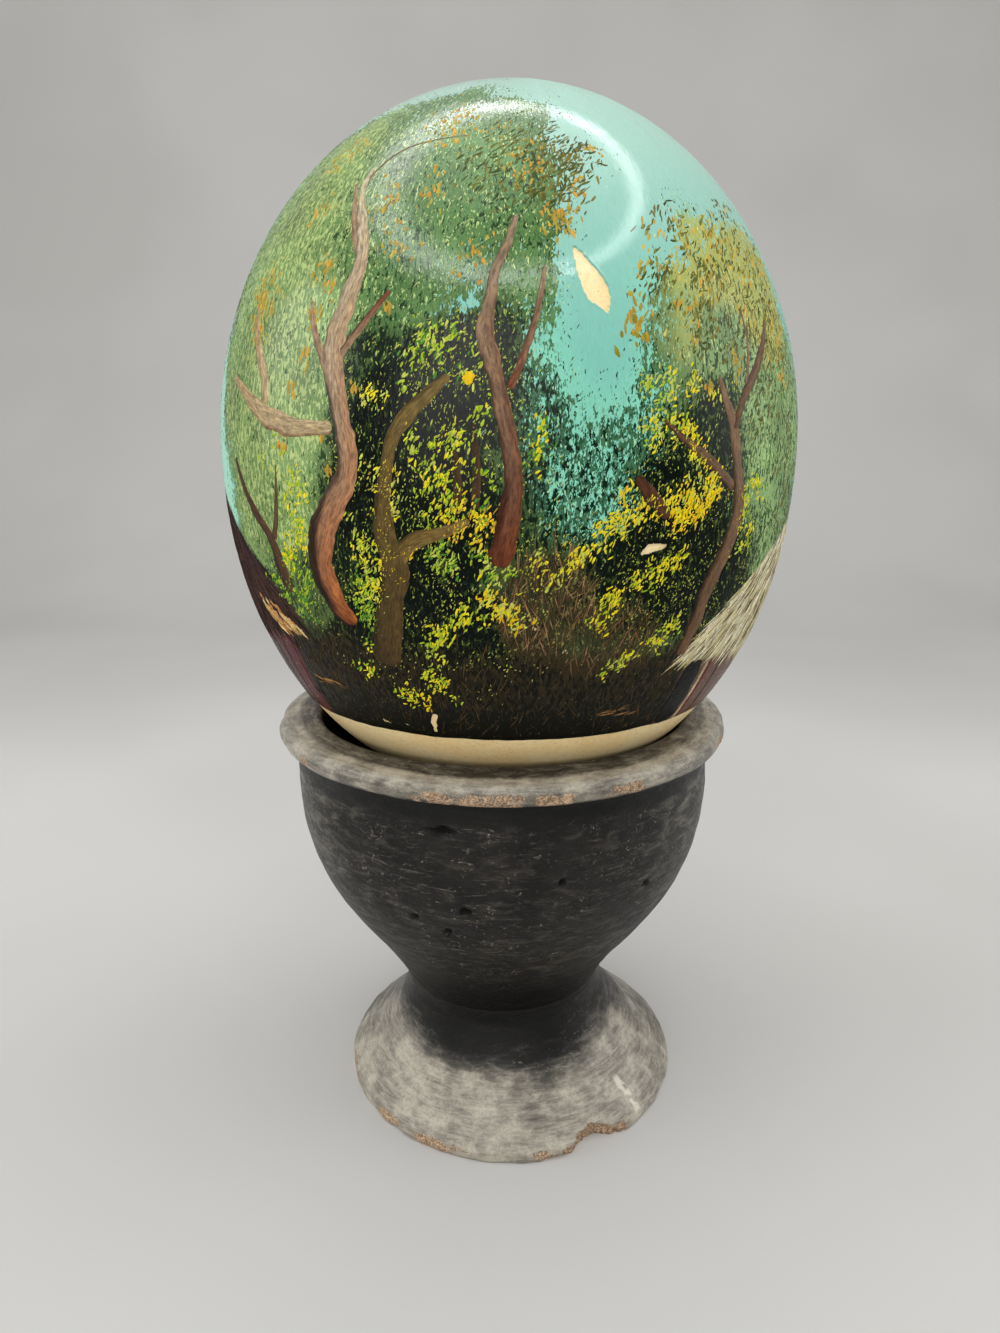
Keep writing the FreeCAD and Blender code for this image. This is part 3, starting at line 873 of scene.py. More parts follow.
def build_coat():
    """Fine grid over the painted part. Cells round the chips are split, and chips sink below the shell."""
    lift = np.concatenate([[0.0, 0.0], np.linspace(0.0, 1.0, PAINT_ROWS)])
    s_rows = S_EDGE + lift * (S_TOP - 0.5 - S_EDGE)
    columns = np.arange(PAINT_COLUMNS) * 360.0 / PAINT_COLUMNS - 180.0
    azimuth, s = (v.ravel() for v in np.meshgrid(columns, s_rows))
    row = np.repeat(np.arange(len(s_rows)), PAINT_COLUMNS)
    at_edge = on_egg(azimuth, np.full(len(s), S_EDGE))
    edge_wave = 0.28 * lumps(at_edge, 7.0, 86) + 0.12 * lumps(at_edge, 1.7, 87)
    s = s + edge_wave * ease(-(s - S_EDGE), -6.0, 0.0)
    s = s - np.where(row == 0, 0.10, 0.0)
    height = coat_height(azimuth, s)
    height = np.where(row == 0, -0.06, np.where(row == 1, height * 0.72, height))
    quads = np.array(rows_of_quads(len(s_rows), PAINT_COLUMNS))
    chipped = np.zeros(len(quads), bool)
    parts_azimuth, parts_s, parts_height, extra = [azimuth], [s], [height], []
    count = len(azimuth)
    share = np.linspace(0.0, 1.0, CHIP_CELLS + 1)
    cells = np.array(rows_of_quads(CHIP_CELLS + 1, CHIP_CELLS + 1, closed=False))
    for chip in CHIPS:
        gap = chip_gap(azimuth, s, on_egg(azimuth, s), chip)
        near = (gap < 2.2)[quads].any(axis=1) & ~chipped & (quads[:, 0] >= 3 * PAINT_COLUMNS)
        chipped |= near
        for quad in quads[near]:
            az_0, az_1 = azimuth[quad[0]], azimuth[quad[0]] + 360.0 / PAINT_COLUMNS
            low, high = s[quad[0]], s[quad[3]]
            fine_az, fine_s = np.meshgrid(az_0 + (az_1 - az_0) * share, low + (high - low) * share)
            fine_az, fine_s = fine_az.ravel(), fine_s.ravel()
            parts_azimuth.append(fine_az)
            parts_s.append(fine_s)
            away = chip_gap(fine_az, fine_s, on_egg(fine_az, fine_s), chip)
            thick = coat_height(fine_az, fine_s) + 0.05 * ease(-np.abs(away - 0.2), -0.4, 0.0)
            parts_height.append(np.where(away > 0.0, thick, -0.25))
            extra.append(cells + count)
            count += len(fine_az)
    azimuth, s, height = (np.concatenate(v) for v in (parts_azimuth, parts_s, parts_height))
    pole = count
    azimuth, s, height = np.append(azimuth, 0.0), np.append(s, S_TOP), np.append(height, PAINT_FILM)
    top = (len(s_rows) - 1) * PAINT_COLUMNS
    fan = [(top + j, top + (j + 1) % PAINT_COLUMNS, pole) for j in range(PAINT_COLUMNS)]
    faces = np.vstack([quads[~chipped]] + extra).tolist() + fan
    coat = mesh_object("painted_scene", on_egg(azimuth, s, height), faces)
    here = scenery(azimuth, s)
    for name in ("under", "mid", "light", "dark"):
        give(coat, name, np.column_stack([np.clip(here[name], 0, 1), np.ones(len(s))]))
    for name in ("leaf", "shade", "glint"):
        give(coat, name, here[name])
    give(coat, "grain", brush_grain(azimuth, s))
    give(coat, "calm", ease(s, 88.0, 102.0))
    foliage = ease(-azimuth, -14.0, 6.0) * ease(azimuth, -120.0, -90.0)
    give(coat, "varnish", 0.10 + (0.26 + 0.46 * foliage) * ease(s, -16.0, 36.0))
    give(coat, "sheer", here["sky"] * ease(s, 0.0, 25.0))
    return coat


def brush_grain(azimuth, s):
    """Coordinates in mm whose third axis runs along the brush strokes, without a seam."""
    turn = np.radians(azimuth)
    return np.stack([60.0 * np.sin(turn), 60.0 * np.cos(turn), 0.42 * s], axis=-1)


def coat_paint():
    p = Paint("painted_scene")
    grain = p.stored("grain", "Vector")
    calm = p.stored("calm")

    def dabbed(value, cover):
        """1 where the noise stands above what the cover lets through."""
        return p.ramp(p.plus(value, p.ramp(cover, 0.0, 1.0, -0.80, -0.22)), -0.018, 0.018)

    broad = p.noise(p.place(grain, move=(11, 5, 2)), 0.16, 4.0, 0.6)
    first = p.noise(grain, 1.30, 3.0, 0.62)
    second = p.noise(p.place(grain, move=(40, 9, 31)), 1.45, 3.0, 0.6)
    third = p.noise(p.place(grain, move=(5, 71, 13)), 1.75, 2.0, 0.55)
    hair = p.noise(p.place(grain, (1, 1, 0.35), (3, 2, 8)), 3.4, 3.0, 0.6)
    wash = p.mix(p.ramp(broad, 0.3, 0.7), p.stored("under", "Color"), (0.5, 0.5, 0.5), "SOFT_LIGHT")
    under = p.mix(p.ramp(hair, 0.35, 0.65, 0.0, 0.30), wash, linear(196, 226, 206), "SOFT_LIGHT")
    mid = p.mix(p.ramp(third, 0.35, 0.65), p.stored("mid", "Color"), p.stored("light", "Color"))
    mid = p.mix(p.ramp(third, 0.40, 0.60, 0.55, 0.0), p.stored("mid", "Color"), mid)
    colour = p.mix(dabbed(first, p.stored("leaf")), under, mid)
    colour = p.mix(dabbed(second, p.stored("shade")), colour, p.stored("dark", "Color"))
    colour = p.mix(dabbed(third, p.stored("glint")), colour, p.stored("light", "Color"))
    colour = p.mix(p.ramp(hair, 0.3, 0.7, 0.0, 0.35), colour, (0.66, 0.68, 0.62), "MULTIPLY")
    lively = p.ramp(calm, 0.0, 1.0, 1.0, 0.25)
    height = p.times(p.plus(first, p.plus(second, third)), lively)
    normal = p.bump(height, 0.00014, 0.8)
    normal = p.bump(p.times(hair, lively), 0.00006, 0.7, normal)
    grainy = p.ramp(p.stored("sheer"), 0.0, 1.0, 1.0, 0.35)
    skin = p.bump(p.times(p.noise(grain, 1.3, 5.0, 0.66), grainy), 0.00007, 0.8,
                  p.bump(p.times(height, grainy), 0.00002, 0.8))
    gloss = p.plus(p.ramp(hair, 0.3, 0.7, 0.26, 0.40), p.ramp(broad, 0.3, 0.7, -0.04, 0.06))
    return p.finish(Base_Color=colour, Roughness=gloss, Normal=normal, Specular_IOR_Level=0.02,
                    Coat_Weight=p.stored("varnish"), Coat_Roughness=0.06, Coat_Normal=skin)


def wear_paint(obj, material):
    dress(obj, material)
    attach(obj, "egg")


coat = build_coat()
wear_paint(coat, coat_paint())
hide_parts("paint_coat")

# ------------------------------------------------------------------ raised strokes


class Strokes:
    """Gathers strokes of one pigment into one piece."""

    def __init__(self):
        self.points, self.quads, self.triangles = [], [], []
        self.tints, self.grains, self.count = [], [], 0

    def add(self, points, tints, grains, quads=None, triangles=None):
        self.points.append(points)
        self.tints.append(tints)
        self.grains.append(grains)
        if quads is not None:
            self.quads.append(np.asarray(quads) + self.count)
        if triangles is not None:
            self.triangles.append(np.asarray(triangles) + self.count)
        self.count += len(points)

    def build(self, name, variety, gloss=0.3, varnish=0.14):
        points = np.vstack(self.points)
        quads = np.vstack(self.quads) if self.quads else np.zeros((0, 4), int)
        triangles = np.vstack(self.triangles) if self.triangles else np.zeros((0, 3), int)
        mesh = bpy.data.meshes.new(name)
        mesh.vertices.add(len(points))
        mesh.vertices.foreach_set("co", (points * MM).astype(np.float32).ravel())
        mesh.loops.add(quads.size + triangles.size)
        corners = np.concatenate([quads.ravel(), triangles.ravel()]).astype(np.int32)
        mesh.loops.foreach_set("vertex_index", corners)
        totals = np.concatenate([np.full(len(quads), 4), np.full(len(triangles), 3)])
        starts = np.concatenate([[0], np.cumsum(totals)[:-1]]).astype(np.int32)
        mesh.polygons.add(len(totals))
        mesh.polygons.foreach_set("loop_start", starts)
        mesh.polygons.foreach_set("use_smooth", np.ones(len(totals), bool))
        mesh.update(calc_edges=True)
        obj = bpy.data.objects.new(name, mesh)
        bpy.context.scene.collection.objects.link(obj)
        tints = np.clip(np.vstack(self.tints), 0.0, 1.0)
        give(obj, "tint", np.column_stack([tints, np.ones(len(tints))]))
        give(obj, "grain", np.vstack(self.grains))
        wear_paint(obj, stroke_paint(name, variety, gloss, varnish))


def stroke_paint(name, variety, gloss, varnish):
    """Paint for raised strokes: the stroke's own tint, broken by bristle lines and thin patches."""
    p = Paint(name)
    grain = p.stored("grain", "Vector")
    tint = p.stored("tint", "Color")
    bristle = p.noise(p.place(grain, (1, 1, 0.22)), 2.8, 4.0, 0.65)
    patchy = p.noise(p.place(grain, move=(9, 4, 6)), 0.5, 3.0, 0.6)
    colour = p.mix(p.ramp(bristle, 0.34, 0.66, 0.0, variety), tint, linear(40, 32, 24), "MULTIPLY")
    colour = p.mix(p.ramp(patchy, 0.45, 0.72, 0.0, variety), colour, linear(236, 226, 196), "SOFT_LIGHT")
    normal = p.bump(bristle, 0.00020, 0.7)
    normal = p.bump(patchy, 0.00025, 0.5, normal)
    shine = p.ramp(bristle, 0.3, 0.7, gloss - 0.05, gloss + 0.12)
    return p.finish(Base_Color=colour, Roughness=shine, Normal=normal, Specular_IOR_Level=0.02,
                    Coat_Weight=varnish, Coat_Roughness=0.14)


def smooth_path(points, step):
    """Distances along a curve through the points and the curve, resampled about every `step` mm."""
    points = np.array(points, float)
    padded = np.vstack([2 * points[0] - points[1], points, 2 * points[-1] - points[-2]])
    share = np.linspace(0.0, 1.0, 24, endpoint=False)[:, None]  # 24 points per span
    fine = []
    for k in range(1, len(padded) - 2):
        a, b, c, d = padded[k - 1:k + 3]
        fine.append(0.5 * (2 * b + (c - a) * share + (2 * a - 5 * b + 4 * c - d) * share ** 2
                           + (3 * b - a - 3 * c + d) * share ** 3))
    fine = np.vstack(fine + [points[-1:]])
    across = np.radians(np.diff(fine[:, 0])) * radius_at(fine[:-1, 1])
    run = np.concatenate([[0.0], np.cumsum(np.hypot(across, np.diff(fine[:, 1])))])
    at = np.linspace(0.0, run[-1], max(int(run[-1] / step), 4) + 1)
    return at, np.stack([np.interp(at, run, fine[:, k]) for k in range(fine.shape[1])], axis=1)


STEP, SPACING = 0.5, 0.42  # mm between the points of a ribbon, along it and across it


def ribbon(strokes, path, colours, height, seed):
    """One long brush stroke along a path of (azimuth, s, width).

    colours are (start, end, dark side, how much of the width is dark, light side).
    """
    at, curve = smooth_path(path, STEP)
    azimuth, s, width = curve.T
    radius = radius_at(s)
    go_across, go_up = np.gradient(np.radians(azimuth)) * radius, np.gradient(s)
    length = np.hypot(go_across, go_up)
    side_across, side_up = go_up / length, -go_across / length
    half = np.maximum(width / 2, 0.15)
    end = np.clip(np.minimum(at, at[-1] - at) / half, 0.0, 1.0)
    round_off = np.sqrt(np.clip(1.0 - (1.0 - end) ** 2, 0.01, 1.0))
    columns = int(np.clip(width.max() / SPACING, 4, 16)) // 2 * 2 + 1
    x = np.linspace(-1.0, 1.0, columns)
    along, across, seeds = np.repeat(at, columns), np.tile(x, len(at)), np.full(len(at) * columns, seed)
    cell = np.stack([along, np.sign(across) * 9.0, seeds], 1)
    wander = (0.16 * rough(cell, 2.2, 111, 3)).reshape(len(at), columns)
    offset = (half * round_off)[:, None] * x[None, :] * (1.0 + wander)
    fine = np.stack([along * 0.16, across * half.max(), seeds], 1)
    bristles = lumps(fine, 0.45, 113).reshape(len(at), columns)
    knots = lumps(fine * (6.25, 1, 1), 1.4, 115).reshape(len(at), columns)
    rise = 0.55 * height * (1.0 - x[None, :] ** 8) * round_off[:, None]
    rise = rise * (1.0 + 0.30 * bristles + 0.25 * knots)
    rise[:, [0, -1]] = -0.09
    rise[[0, -1], :] = -0.09
    az_grid = azimuth[:, None] + np.degrees(side_across[:, None] * offset / radius[:, None])
    s_grid = s[:, None] + side_up[:, None] * offset
    points = on_egg(az_grid.ravel(), s_grid.ravel(), PAINT_FILM + rise.ravel())
    start, finish_tint, dark, dark_share, light = colours
    share = along / at[-1]
    tint = blend(np.tile(start, (len(share), 1)), finish_tint, share)
    lean = across + 0.30 * rough(fine * (2.0, 1, 1), 2.0, 117, 2)
    tint = blend(tint, light, 0.75 * (1.0 - share) * ease(lean, -0.1, 0.6) * (0.6 + 0.4 * bristles.ravel()))
    dark_low, dark_high = dark_share if isinstance(dark_share, tuple) else (dark_share, dark_share)
    edge = 1.0 - 2.0 * (dark_low + (dark_high - dark_low) * share)
    tint = blend(tint, dark, ease(-lean, edge - 0.25, edge + 0.25) * (1.0 - 0.4 * share))
    tint = tint * (1.0 + 0.16 * bristles.ravel() + 0.10 * knots.ravel())[:, None]
    grain = np.stack([across * np.repeat(half, columns), seeds, along], axis=1)
    strokes.add(points, tint, grain, quads=rows_of_quads(len(at), columns, closed=False))


def lay(strokes, azimuth, s, lean, u, v, rise, tint, **faces):
    """Adds flat shapes, one per row: u across and v along in mm, turned by lean and laid on the egg.

    faces gives the quads or triangles of one shape.
    """
    angle = np.radians(lean)[:, None]
    across = u * np.cos(angle) + v * np.sin(angle)
    up = v * np.cos(angle) - u * np.sin(angle)
    az_all = (azimuth[:, None] + np.degrees(across / np.maximum(radius_at(s)[:, None], 3.0))).ravel()
    s_all = (s[:, None] + up).ravel()
    count, each = u.shape
    first = np.arange(count)[:, None, None] * each
    shapes = {kind: (first + one[None]).reshape(-1, one.shape[1]) for kind, one in faces.items()}
    strokes.add(on_egg(az_all, s_all, (PAINT_FILM + rise).ravel()), np.repeat(tint, each, axis=0),
                brush_grain(az_all, s_all), **shapes)


def dabs(strokes, azimuth, s, length, width, lean, height, tint, rims):
    """Short dabs, thick in the middle. lean is in degrees to the right of straight up."""
    keep = unchipped(azimuth, s) & beside_trunks(azimuth, s)
    azimuth, s, length, width = azimuth[keep], s[keep], length[keep], width[keep]
    lean, height, tint = lean[keep], height[keep], tint[keep]
    count = len(s)
    turn = np.linspace(0.0, 2 * math.pi, rims, endpoint=False)[None, :] + rng.uniform(0, 1.0, (count, 1))
    reach = rng.uniform(0.72, 1.18, (count, rims))
    u = np.cos(turn) * reach * width[:, None] / 2
    v = np.sin(turn) * reach * length[:, None] / 2
    u = np.column_stack([u, rng.uniform(-0.15, 0.15, count) * width])
    v = np.column_stack([v, rng.uniform(-0.25, 0.25, count) * length])
    rise = np.column_stack([np.full((count, rims), -0.035), height])
    ring = np.arange(rims)
    fan = np.stack([np.full(rims, rims), ring, (ring + 1) % rims], axis=1)
    lay(strokes, azimuth, s, lean, u, v, rise, tint, triangles=fan)


def blades(strokes, azimuth, s, length, width, lean, height, tint, rows):
    """Long thin strokes that start at (azimuth, s) and run `length` mm; they follow the egg's surface."""
    count = len(s)
    share = np.linspace(0.0, 1.0, rows)[None, :, None]
    x = np.array([-1.0, 0.0, 1.0])[None, None, :]
    belly = np.sin(math.pi * np.clip(share, 0.03, 0.97) ** 0.8)
    curl = rng.uniform(-0.06, 0.06, (count, 1, 1)) * length[:, None, None] * share ** 2
    u = x * belly * width[:, None, None] / 2 + curl
    v = share * length[:, None, None] + 0.0 * x  # one value per vertex
    rise = np.where(np.abs(x) > 0.5, -0.07, height[:, None, None] * belly)
    u, v, rise = (part.reshape(count, rows * 3) for part in (u, v, rise))
    lay(strokes, azimuth, s, lean, u, v, rise, tint, quads=np.array(rows_of_quads(rows, 3, closed=False)))


def tinted(colours, count, spread=0.12):
    """Random picks from the colours, each a little lighter or darker."""
    picked = np.array(colours)[rng.integers(0, len(colours), count)]
    picked = picked * (1.0 + rng.uniform(-spread, spread, (count, 1)))
    return picked * (1.0 + rng.uniform(-0.05, 0.05, (count, 3)))


def over_egg(density, low=None, high=None, az_low=-180.0, az_high=180.0):
    """Random places, evenly spread over the painted surface at `density` per square mm."""
    low, high = S_EDGE + 0.8 if low is None else low, 92.0 if high is None else high
    table_s = np.linspace(low, high, 400)
    table_r = radius_at(table_s)
    share = np.concatenate([[0.0], np.cumsum((table_r[1:] + table_r[:-1]) / 2)])
    area = math.radians(az_high - az_low) * share[-1] * (table_s[1] - table_s[0])
    s = np.interp(rng.uniform(0, share[-1], int(area * density)), share, table_s)
    return rng.uniform(az_low, az_high, len(s)), s


def along_path(path, spread, count):
    """Random places within `spread` mm of a path of (azimuth, s)."""
    path = [(p[0], p[1], 1.0) for p in path]
    at, curve = smooth_path(path, 0.5)
    pick = rng.uniform(0, at[-1], count)
    azimuth, s = np.interp(pick, at, curve[:, 0]), np.interp(pick, at, curve[:, 1])
    radius = radius_at(s)
    return azimuth + np.degrees(rng.normal(0, spread, count) / radius), s + rng.normal(0, spread, count)


def clumped(path, spread, count, each=7, tight=0.75):
    """Random places in clumps of about `each`, `tight` mm wide, scattered along a path."""
    groups = max(count // each, 1)
    azimuth, s = along_path(path, spread, groups)
    pick = rng.integers(0, groups, count)
    radius = radius_at(s[pick])
    return (azimuth[pick] + np.degrees(rng.normal(0, tight, count) / radius),
            s[pick] + rng.normal(0, tight * 1.2, count))


def sized(count, length, width, height):
    """Random lengths, widths and heights, each from a (low, high) pair."""
    return tuple(rng.uniform(*pair, count) for pair in (length, width, height))


def scatter(kind, strokes, azimuth, s, sizes, lean, colours, spread=0.12, **shape):
    """Dabs or blades (the kind) of random size, lean and colour. sizes are (low, high) pairs."""
    count = len(s)
    length, width, height = sized(count, *sizes)
    kind(strokes, azimuth, s, length, width, rng.normal(*lean, count), height,
         tinted(colours, count, spread), **shape)


# ---- stipple over the whole painting


def add_stipple():
    layers = {name: Strokes() for name in ("sky", "dark", "green", "lime")}
    azimuth, s = over_egg(2.6)
    here = scenery(azimuth, s)
    edge = 4.0 * here["leaf"] * (1.0 - here["leaf"])
    free = 1.0 - np.maximum(here["solid"], 0.7 * here["ground"])
    chance = {
        "sky": 0.42 * edge * free * (1.0 - here["bush"]) + 0.18 * here["teal"],
        "dark": (0.10 + 0.30 * here["bush"]) * here["leaf"] * free + 0.10 * edge * free,
        "green": (0.34 - 0.20 * here["bush"]) * here["leaf"] * free,
        "lime": (0.24 - 0.08 * here["bush"]) * here["leaf"] * free + 0.04 * here["ground"],
    }
    draw = rng.uniform(0, 1, len(s))
    taken = np.zeros(len(s))
    for name, share in chance.items():
        pick = (draw >= taken) & (draw < taken + share)
        taken = taken + share
        count = int(pick.sum())
        key = {"sky": "under", "dark": "dark", "green": "mid", "lime": "light"}[name]
        tint = here[key][pick] * (1.0 + rng.uniform(-0.22, 0.22, (count, 1)))
        length, width, height = sized(count, (0.5, 1.7), (0.20, 0.48), (0.03, 0.08))
        dabs(layers[name], azimuth[pick], s[pick], length, width, rng.normal(14, 22, count), height, tint,
             rims=5)
    for name, strokes in layers.items():
        strokes.build(f"stipple_{name}", 0.35, varnish=0.40)


add_stipple()

# ---- trunks and limbs

RED, RED_PALE, RED_DARK = linear(128, 70, 44), linear(164, 138, 112), linear(52, 30, 24)
OLIVE, OLIVE_DARK, OLIVE_PALE = linear(104, 82, 44), linear(58, 46, 26), linear(140, 116, 66)
UMBER, UMBER_DARK, UMBER_PALE = linear(98, 70, 50), linear(52, 36, 28), linear(140, 112, 88)
WARM, HAZE = linear(196, 118, 66), linear(204, 194, 164)
RED_LIMB = (RED, RED_PALE, RED_DARK, 0.2, RED_PALE)
RED_TWIG = (RED_PALE, RED_PALE, RED, 0.2, RED_PALE)
OLIVE_LIMB = (OLIVE, OLIVE_PALE, OLIVE_DARK, 0.2, OLIVE_PALE)
UMBER_LIMB = (UMBER, UMBER_PALE, UMBER_DARK, 0.2, UMBER_PALE)
PALE_LIMB = (linear(192, 170, 130), linear(180, 154, 116), linear(130, 100, 74), 0.12,
             linear(206, 182, 142))

# Trunks and limbs: piece, path and colours as ribbon takes them, height in mm, seed.
LIMBS = (
    ("red", ((-28.0, -29.8, 3.6), (-31.6, -26, 5.2), (-33.4, -18, 6.4), (-31, -10, 6.4), (-27.0, -4, 5.2),
     (-26.0, 2, 4.2), (-27.5, 9, 4.0), (-28.7, 15, 4.6), (-29, 20, 5.0), (-27.4, 27, 3.8), (-26.2, 34, 3.0),
     (-27.8, 41, 2.0), (-30.3, 48, 1.3), (-30.0, 53, 0.6)),
     (linear(150, 80, 40), HAZE, linear(30, 22, 20), (0.40, 0.10), WARM), 0.34, 201),
    ("red", ((-30.0, 50, 0.5), (-27.5, 54, 0.6), (-23, 57, 0.55), (-16, 58.4, 0.45), (-9, 59, 0.3)),
     (linear(140, 114, 86), linear(132, 126, 86), linear(116, 94, 70), 0.2, linear(140, 120, 92)), 0.10,
      230),
    ("red", ((-27.2, 35, 1.8), (-30, 42, 1.4), (-32.8, 50, 0.8)), RED_TWIG, 0.28, 203),
    ("red", ((-29, 13, 2.0), (-33.5, 22, 1.7), (-35.2, 27.5, 0.8)), RED_TWIG, 0.28, 204),
    ("red", ((-28.2, 17, 2.2), (-23.9, 22.6, 1.8), (-19.6, 28.2, 0.9)),
     (RED_PALE, RED, RED_DARK, 0.25, RED_PALE), 0.28, 205),
    ("red", ((-28.6, 5.6, 2.6), (-36, 5.6, 3.4), (-42, 7.0, 4.4), (-47.4, 9.2, 3.6), (-53.3, 12.9, 2.2),
     (-58, 15.4, 0.9)), PALE_LIMB, 0.30, 206),
    ("red", ((-44.6, 9.6, 3.0), (-45.6, 15, 2.8), (-47.8, 18.8, 2.6), (-50, 22.9, 2.0), (-51.3, 28.2, 0.9)),
     PALE_LIMB, 0.28, 207),
    ("red", ((-2.2, -17.6, 3.8), (-1.3, -14.0, 4.6), (0.0, -6, 3.7), (0.1, 0, 3.2), (-1.1, 7, 3.0),
     (-2.1, 12, 2.8), (-3.3, 17, 3.1), (-4.1, 21, 3.2), (-3.3, 26, 2.1), (-2.6, 31, 1.7), (-0.6, 36, 1.5),
     (0.8, 41, 0.9)),
     (linear(104, 52, 30), linear(164, 142, 116), linear(64, 32, 22), (0.26, 0.1), linear(126, 66, 40)),
      0.32, 208),
    ("red", ((-0.4, 11.5, 1.6), (1.2, 15.5, 1.5), (3.0, 21, 1.4), (4.6, 27.5, 1.2), (5.3, 32, 0.6)),
     RED_LIMB, 0.28, 209),
    ("olive", ((-23.9, -38.2, 5.8), (-22.2, -32, 6.0), (-20.6, -25.8, 5.8), (-18.9, -18.4, 5.4),
     (-20.2, -12.2, 4.6), (-19.9, -5, 3.0), (-19.0, 0.3, 2.6), (-17.8, 4.6, 2.8), (-15.4, 8.0, 2.8),
     (-12.2, 11.2, 2.4), (-9.2, 14, 1.6)),
     (linear(70, 54, 32), linear(128, 108, 62), OLIVE_DARK, 0.2, linear(96, 76, 44)), 0.24, 210),
    ("olive", ((-18.6, -17.6, 3.4), (-16.6, -14.2, 3.4), (-13.4, -12.4, 3.0), (-10, -11.4, 2.4),
     (-6.2, -9.4, 1.4)), OLIVE_LIMB, 0.22, 211),
    ("olive", ((-8.4, -8, 2.2), (-8.1, -2.5, 2.2), (-8.6, 3, 1.2)),
     (linear(82, 58, 34), linear(70, 52, 32), OLIVE_DARK, 0.3, linear(96, 70, 42)), 0.06, 212),
    ("olive", ((-5.5, -8, 2.2), (-5.2, -0.75, 2.2), (-5.7, 6.5, 1.2)),
     (linear(82, 58, 34), linear(70, 52, 32), OLIVE_DARK, 0.3, linear(96, 70, 42)), 0.06, 212),
    ("umber", ((-43.4, -25.5, 3.0), (-44.3, -20.9, 3.8), (-46, -14.7, 3.0), (-50, -10.3, 2.6),
     (-53.3, -6, 1.9), (-56.9, 0.2, 0.9)),
     (linear(84, 58, 38), linear(78, 50, 36), UMBER_DARK, 0.3, linear(98, 70, 48)), 0.2, 213),
    ("umber", ((-45.0, -15, 2.2), (-43.2, -10, 1.8), (-42.2, -4, 1.2), (-41.9, -0.6, 0.7)),
     (linear(92, 68, 44), linear(108, 92, 60), UMBER_DARK, 0.2, linear(118, 92, 60)), 0.14, 214),
    ("umber", ((34.0, -37.5, 3.2), (35.4, -30.8, 3.8), (36.2, -24.6, 3.8), (38.3, -18.4, 4.2),
     (40.6, -12.2, 4.0), (40.9, -6, 3.6), (39.8, -1.6, 3.2), (38.9, 3.4, 3.0), (38.0, 7.0, 2.6),
     (36.3, 10.6, 2.0), (35.1, 14.4, 1.0)),
     (linear(104, 76, 54), UMBER_PALE, UMBER_DARK, 0.16, linear(142, 112, 84)), 0.26, 215),
    ("umber", ((38.4, 4.8, 2.2), (40.9, 10.6, 2.4), (44.6, 15.2, 2.4), (48.3, 19.9, 2.2),
     (51.4, 25.4, 1.3)), UMBER_LIMB, 0.28, 216),
    ("umber", ((41.0, 9.5, 1.3), (42.6, 15.2, 1.2), (43.6, 21.0, 0.9), (43.0, 27.0, 0.5)),
     (UMBER_PALE, UMBER_PALE, UMBER, 0.2, UMBER_PALE), 0.12, 217),
    ("umber", ((39.2, -5.2, 2.6), (33.3, -0.2, 2.4), (27.8, 3.6, 1.7), (23.6, 7.0, 0.8)),
     (linear(112, 86, 64), UMBER, UMBER_DARK, 0.2, linear(130, 100, 74)), 0.2, 218),
    ("umber", ((25.6, -9.6, 2.2), (22.4, -6.2, 3.2), (19.2, -2.2, 1.8)),
     (linear(92, 60, 42), linear(88, 56, 40), UMBER_DARK, 0.2, linear(104, 70, 50)), 0.2, 219),
    ("red", ((-127, -34, 5.2), (-125, -22, 4.6), (-128, -10, 4.2), (-124, 3, 3.6), (-119, 16, 2.8),
     (-117, 29, 1.6), (-113, 38, 0.7)),
     (RED, RED_PALE, RED_DARK, 0.28, WARM), 0.32, 220),
    ("red", ((-125.6, 1, 2.4), (-131, 10, 2.0), (-136, 20, 1.4), (-137, 28, 0.6)),
     (RED, RED_PALE, RED_DARK, 0.25, RED_PALE), 0.28, 221),
    ("red", ((-121, 10, 1.8), (-114, 15, 1.5), (-106, 24, 0.7)), RED_LIMB, 0.28, 222),
    ("umber", ((-92, -30, 3.4), (-94, -18, 3.0), (-91, -6, 2.6), (-95, 7, 1.8), (-98, 19, 0.8)),
     (UMBER, UMBER_PALE, UMBER_DARK, 0.25, UMBER_PALE), 0.28, 223),
    ("olive", ((146, -34, 6.0), (149, -20, 5.2), (146, -8, 4.6), (143, 4, 4.0), (147, 16, 3.0),
     (151, 28, 1.8), (150, 38, 0.8)),
     (linear(92, 70, 40), OLIVE_PALE, OLIVE_DARK, 0.25, OLIVE_PALE), 0.3, 224),
    ("olive", ((143.6, 1, 3.0), (136, 9, 2.4), (129, 17, 1.8), (124, 26, 0.8)), OLIVE_LIMB, 0.28, 225),
    ("red", ((112, -30, 3.2), (110, -17, 3.0), (113, -4, 2.6), (110, 9, 1.8), (106, 20, 0.8)),
     (RED, RED_PALE, RED_DARK, 0.3, RED_PALE), 0.28, 226),
    ("umber", ((-164, -28, 2.6), (-166, -15, 2.2), (-163, -3, 1.8), (-168, 8, 0.8)), UMBER_LIMB, 0.28, 227))


def add_trunks():
    pieces = {"red": Strokes(), "olive": Strokes(), "umber": Strokes()}
    for piece, *stroke in LIMBS:
        ribbon(pieces[piece], *stroke)
    for piece, variety in (("red", 0.55), ("olive", 0.5), ("umber", 0.5)):
        pieces[piece].build(f"trunks_{piece}", variety, 0.28)


add_trunks()

# ---- leaves and flowers

LIME, LIME_PALE, LEAF = linear(172, 200, 44), linear(204, 214, 96), linear(84, 142, 50)
YELLOW, GOLD = linear(244, 226, 40), linear(246, 202, 24)
OCHRE, ORANGE = linear(182, 154, 60), linear(208, 156, 58)

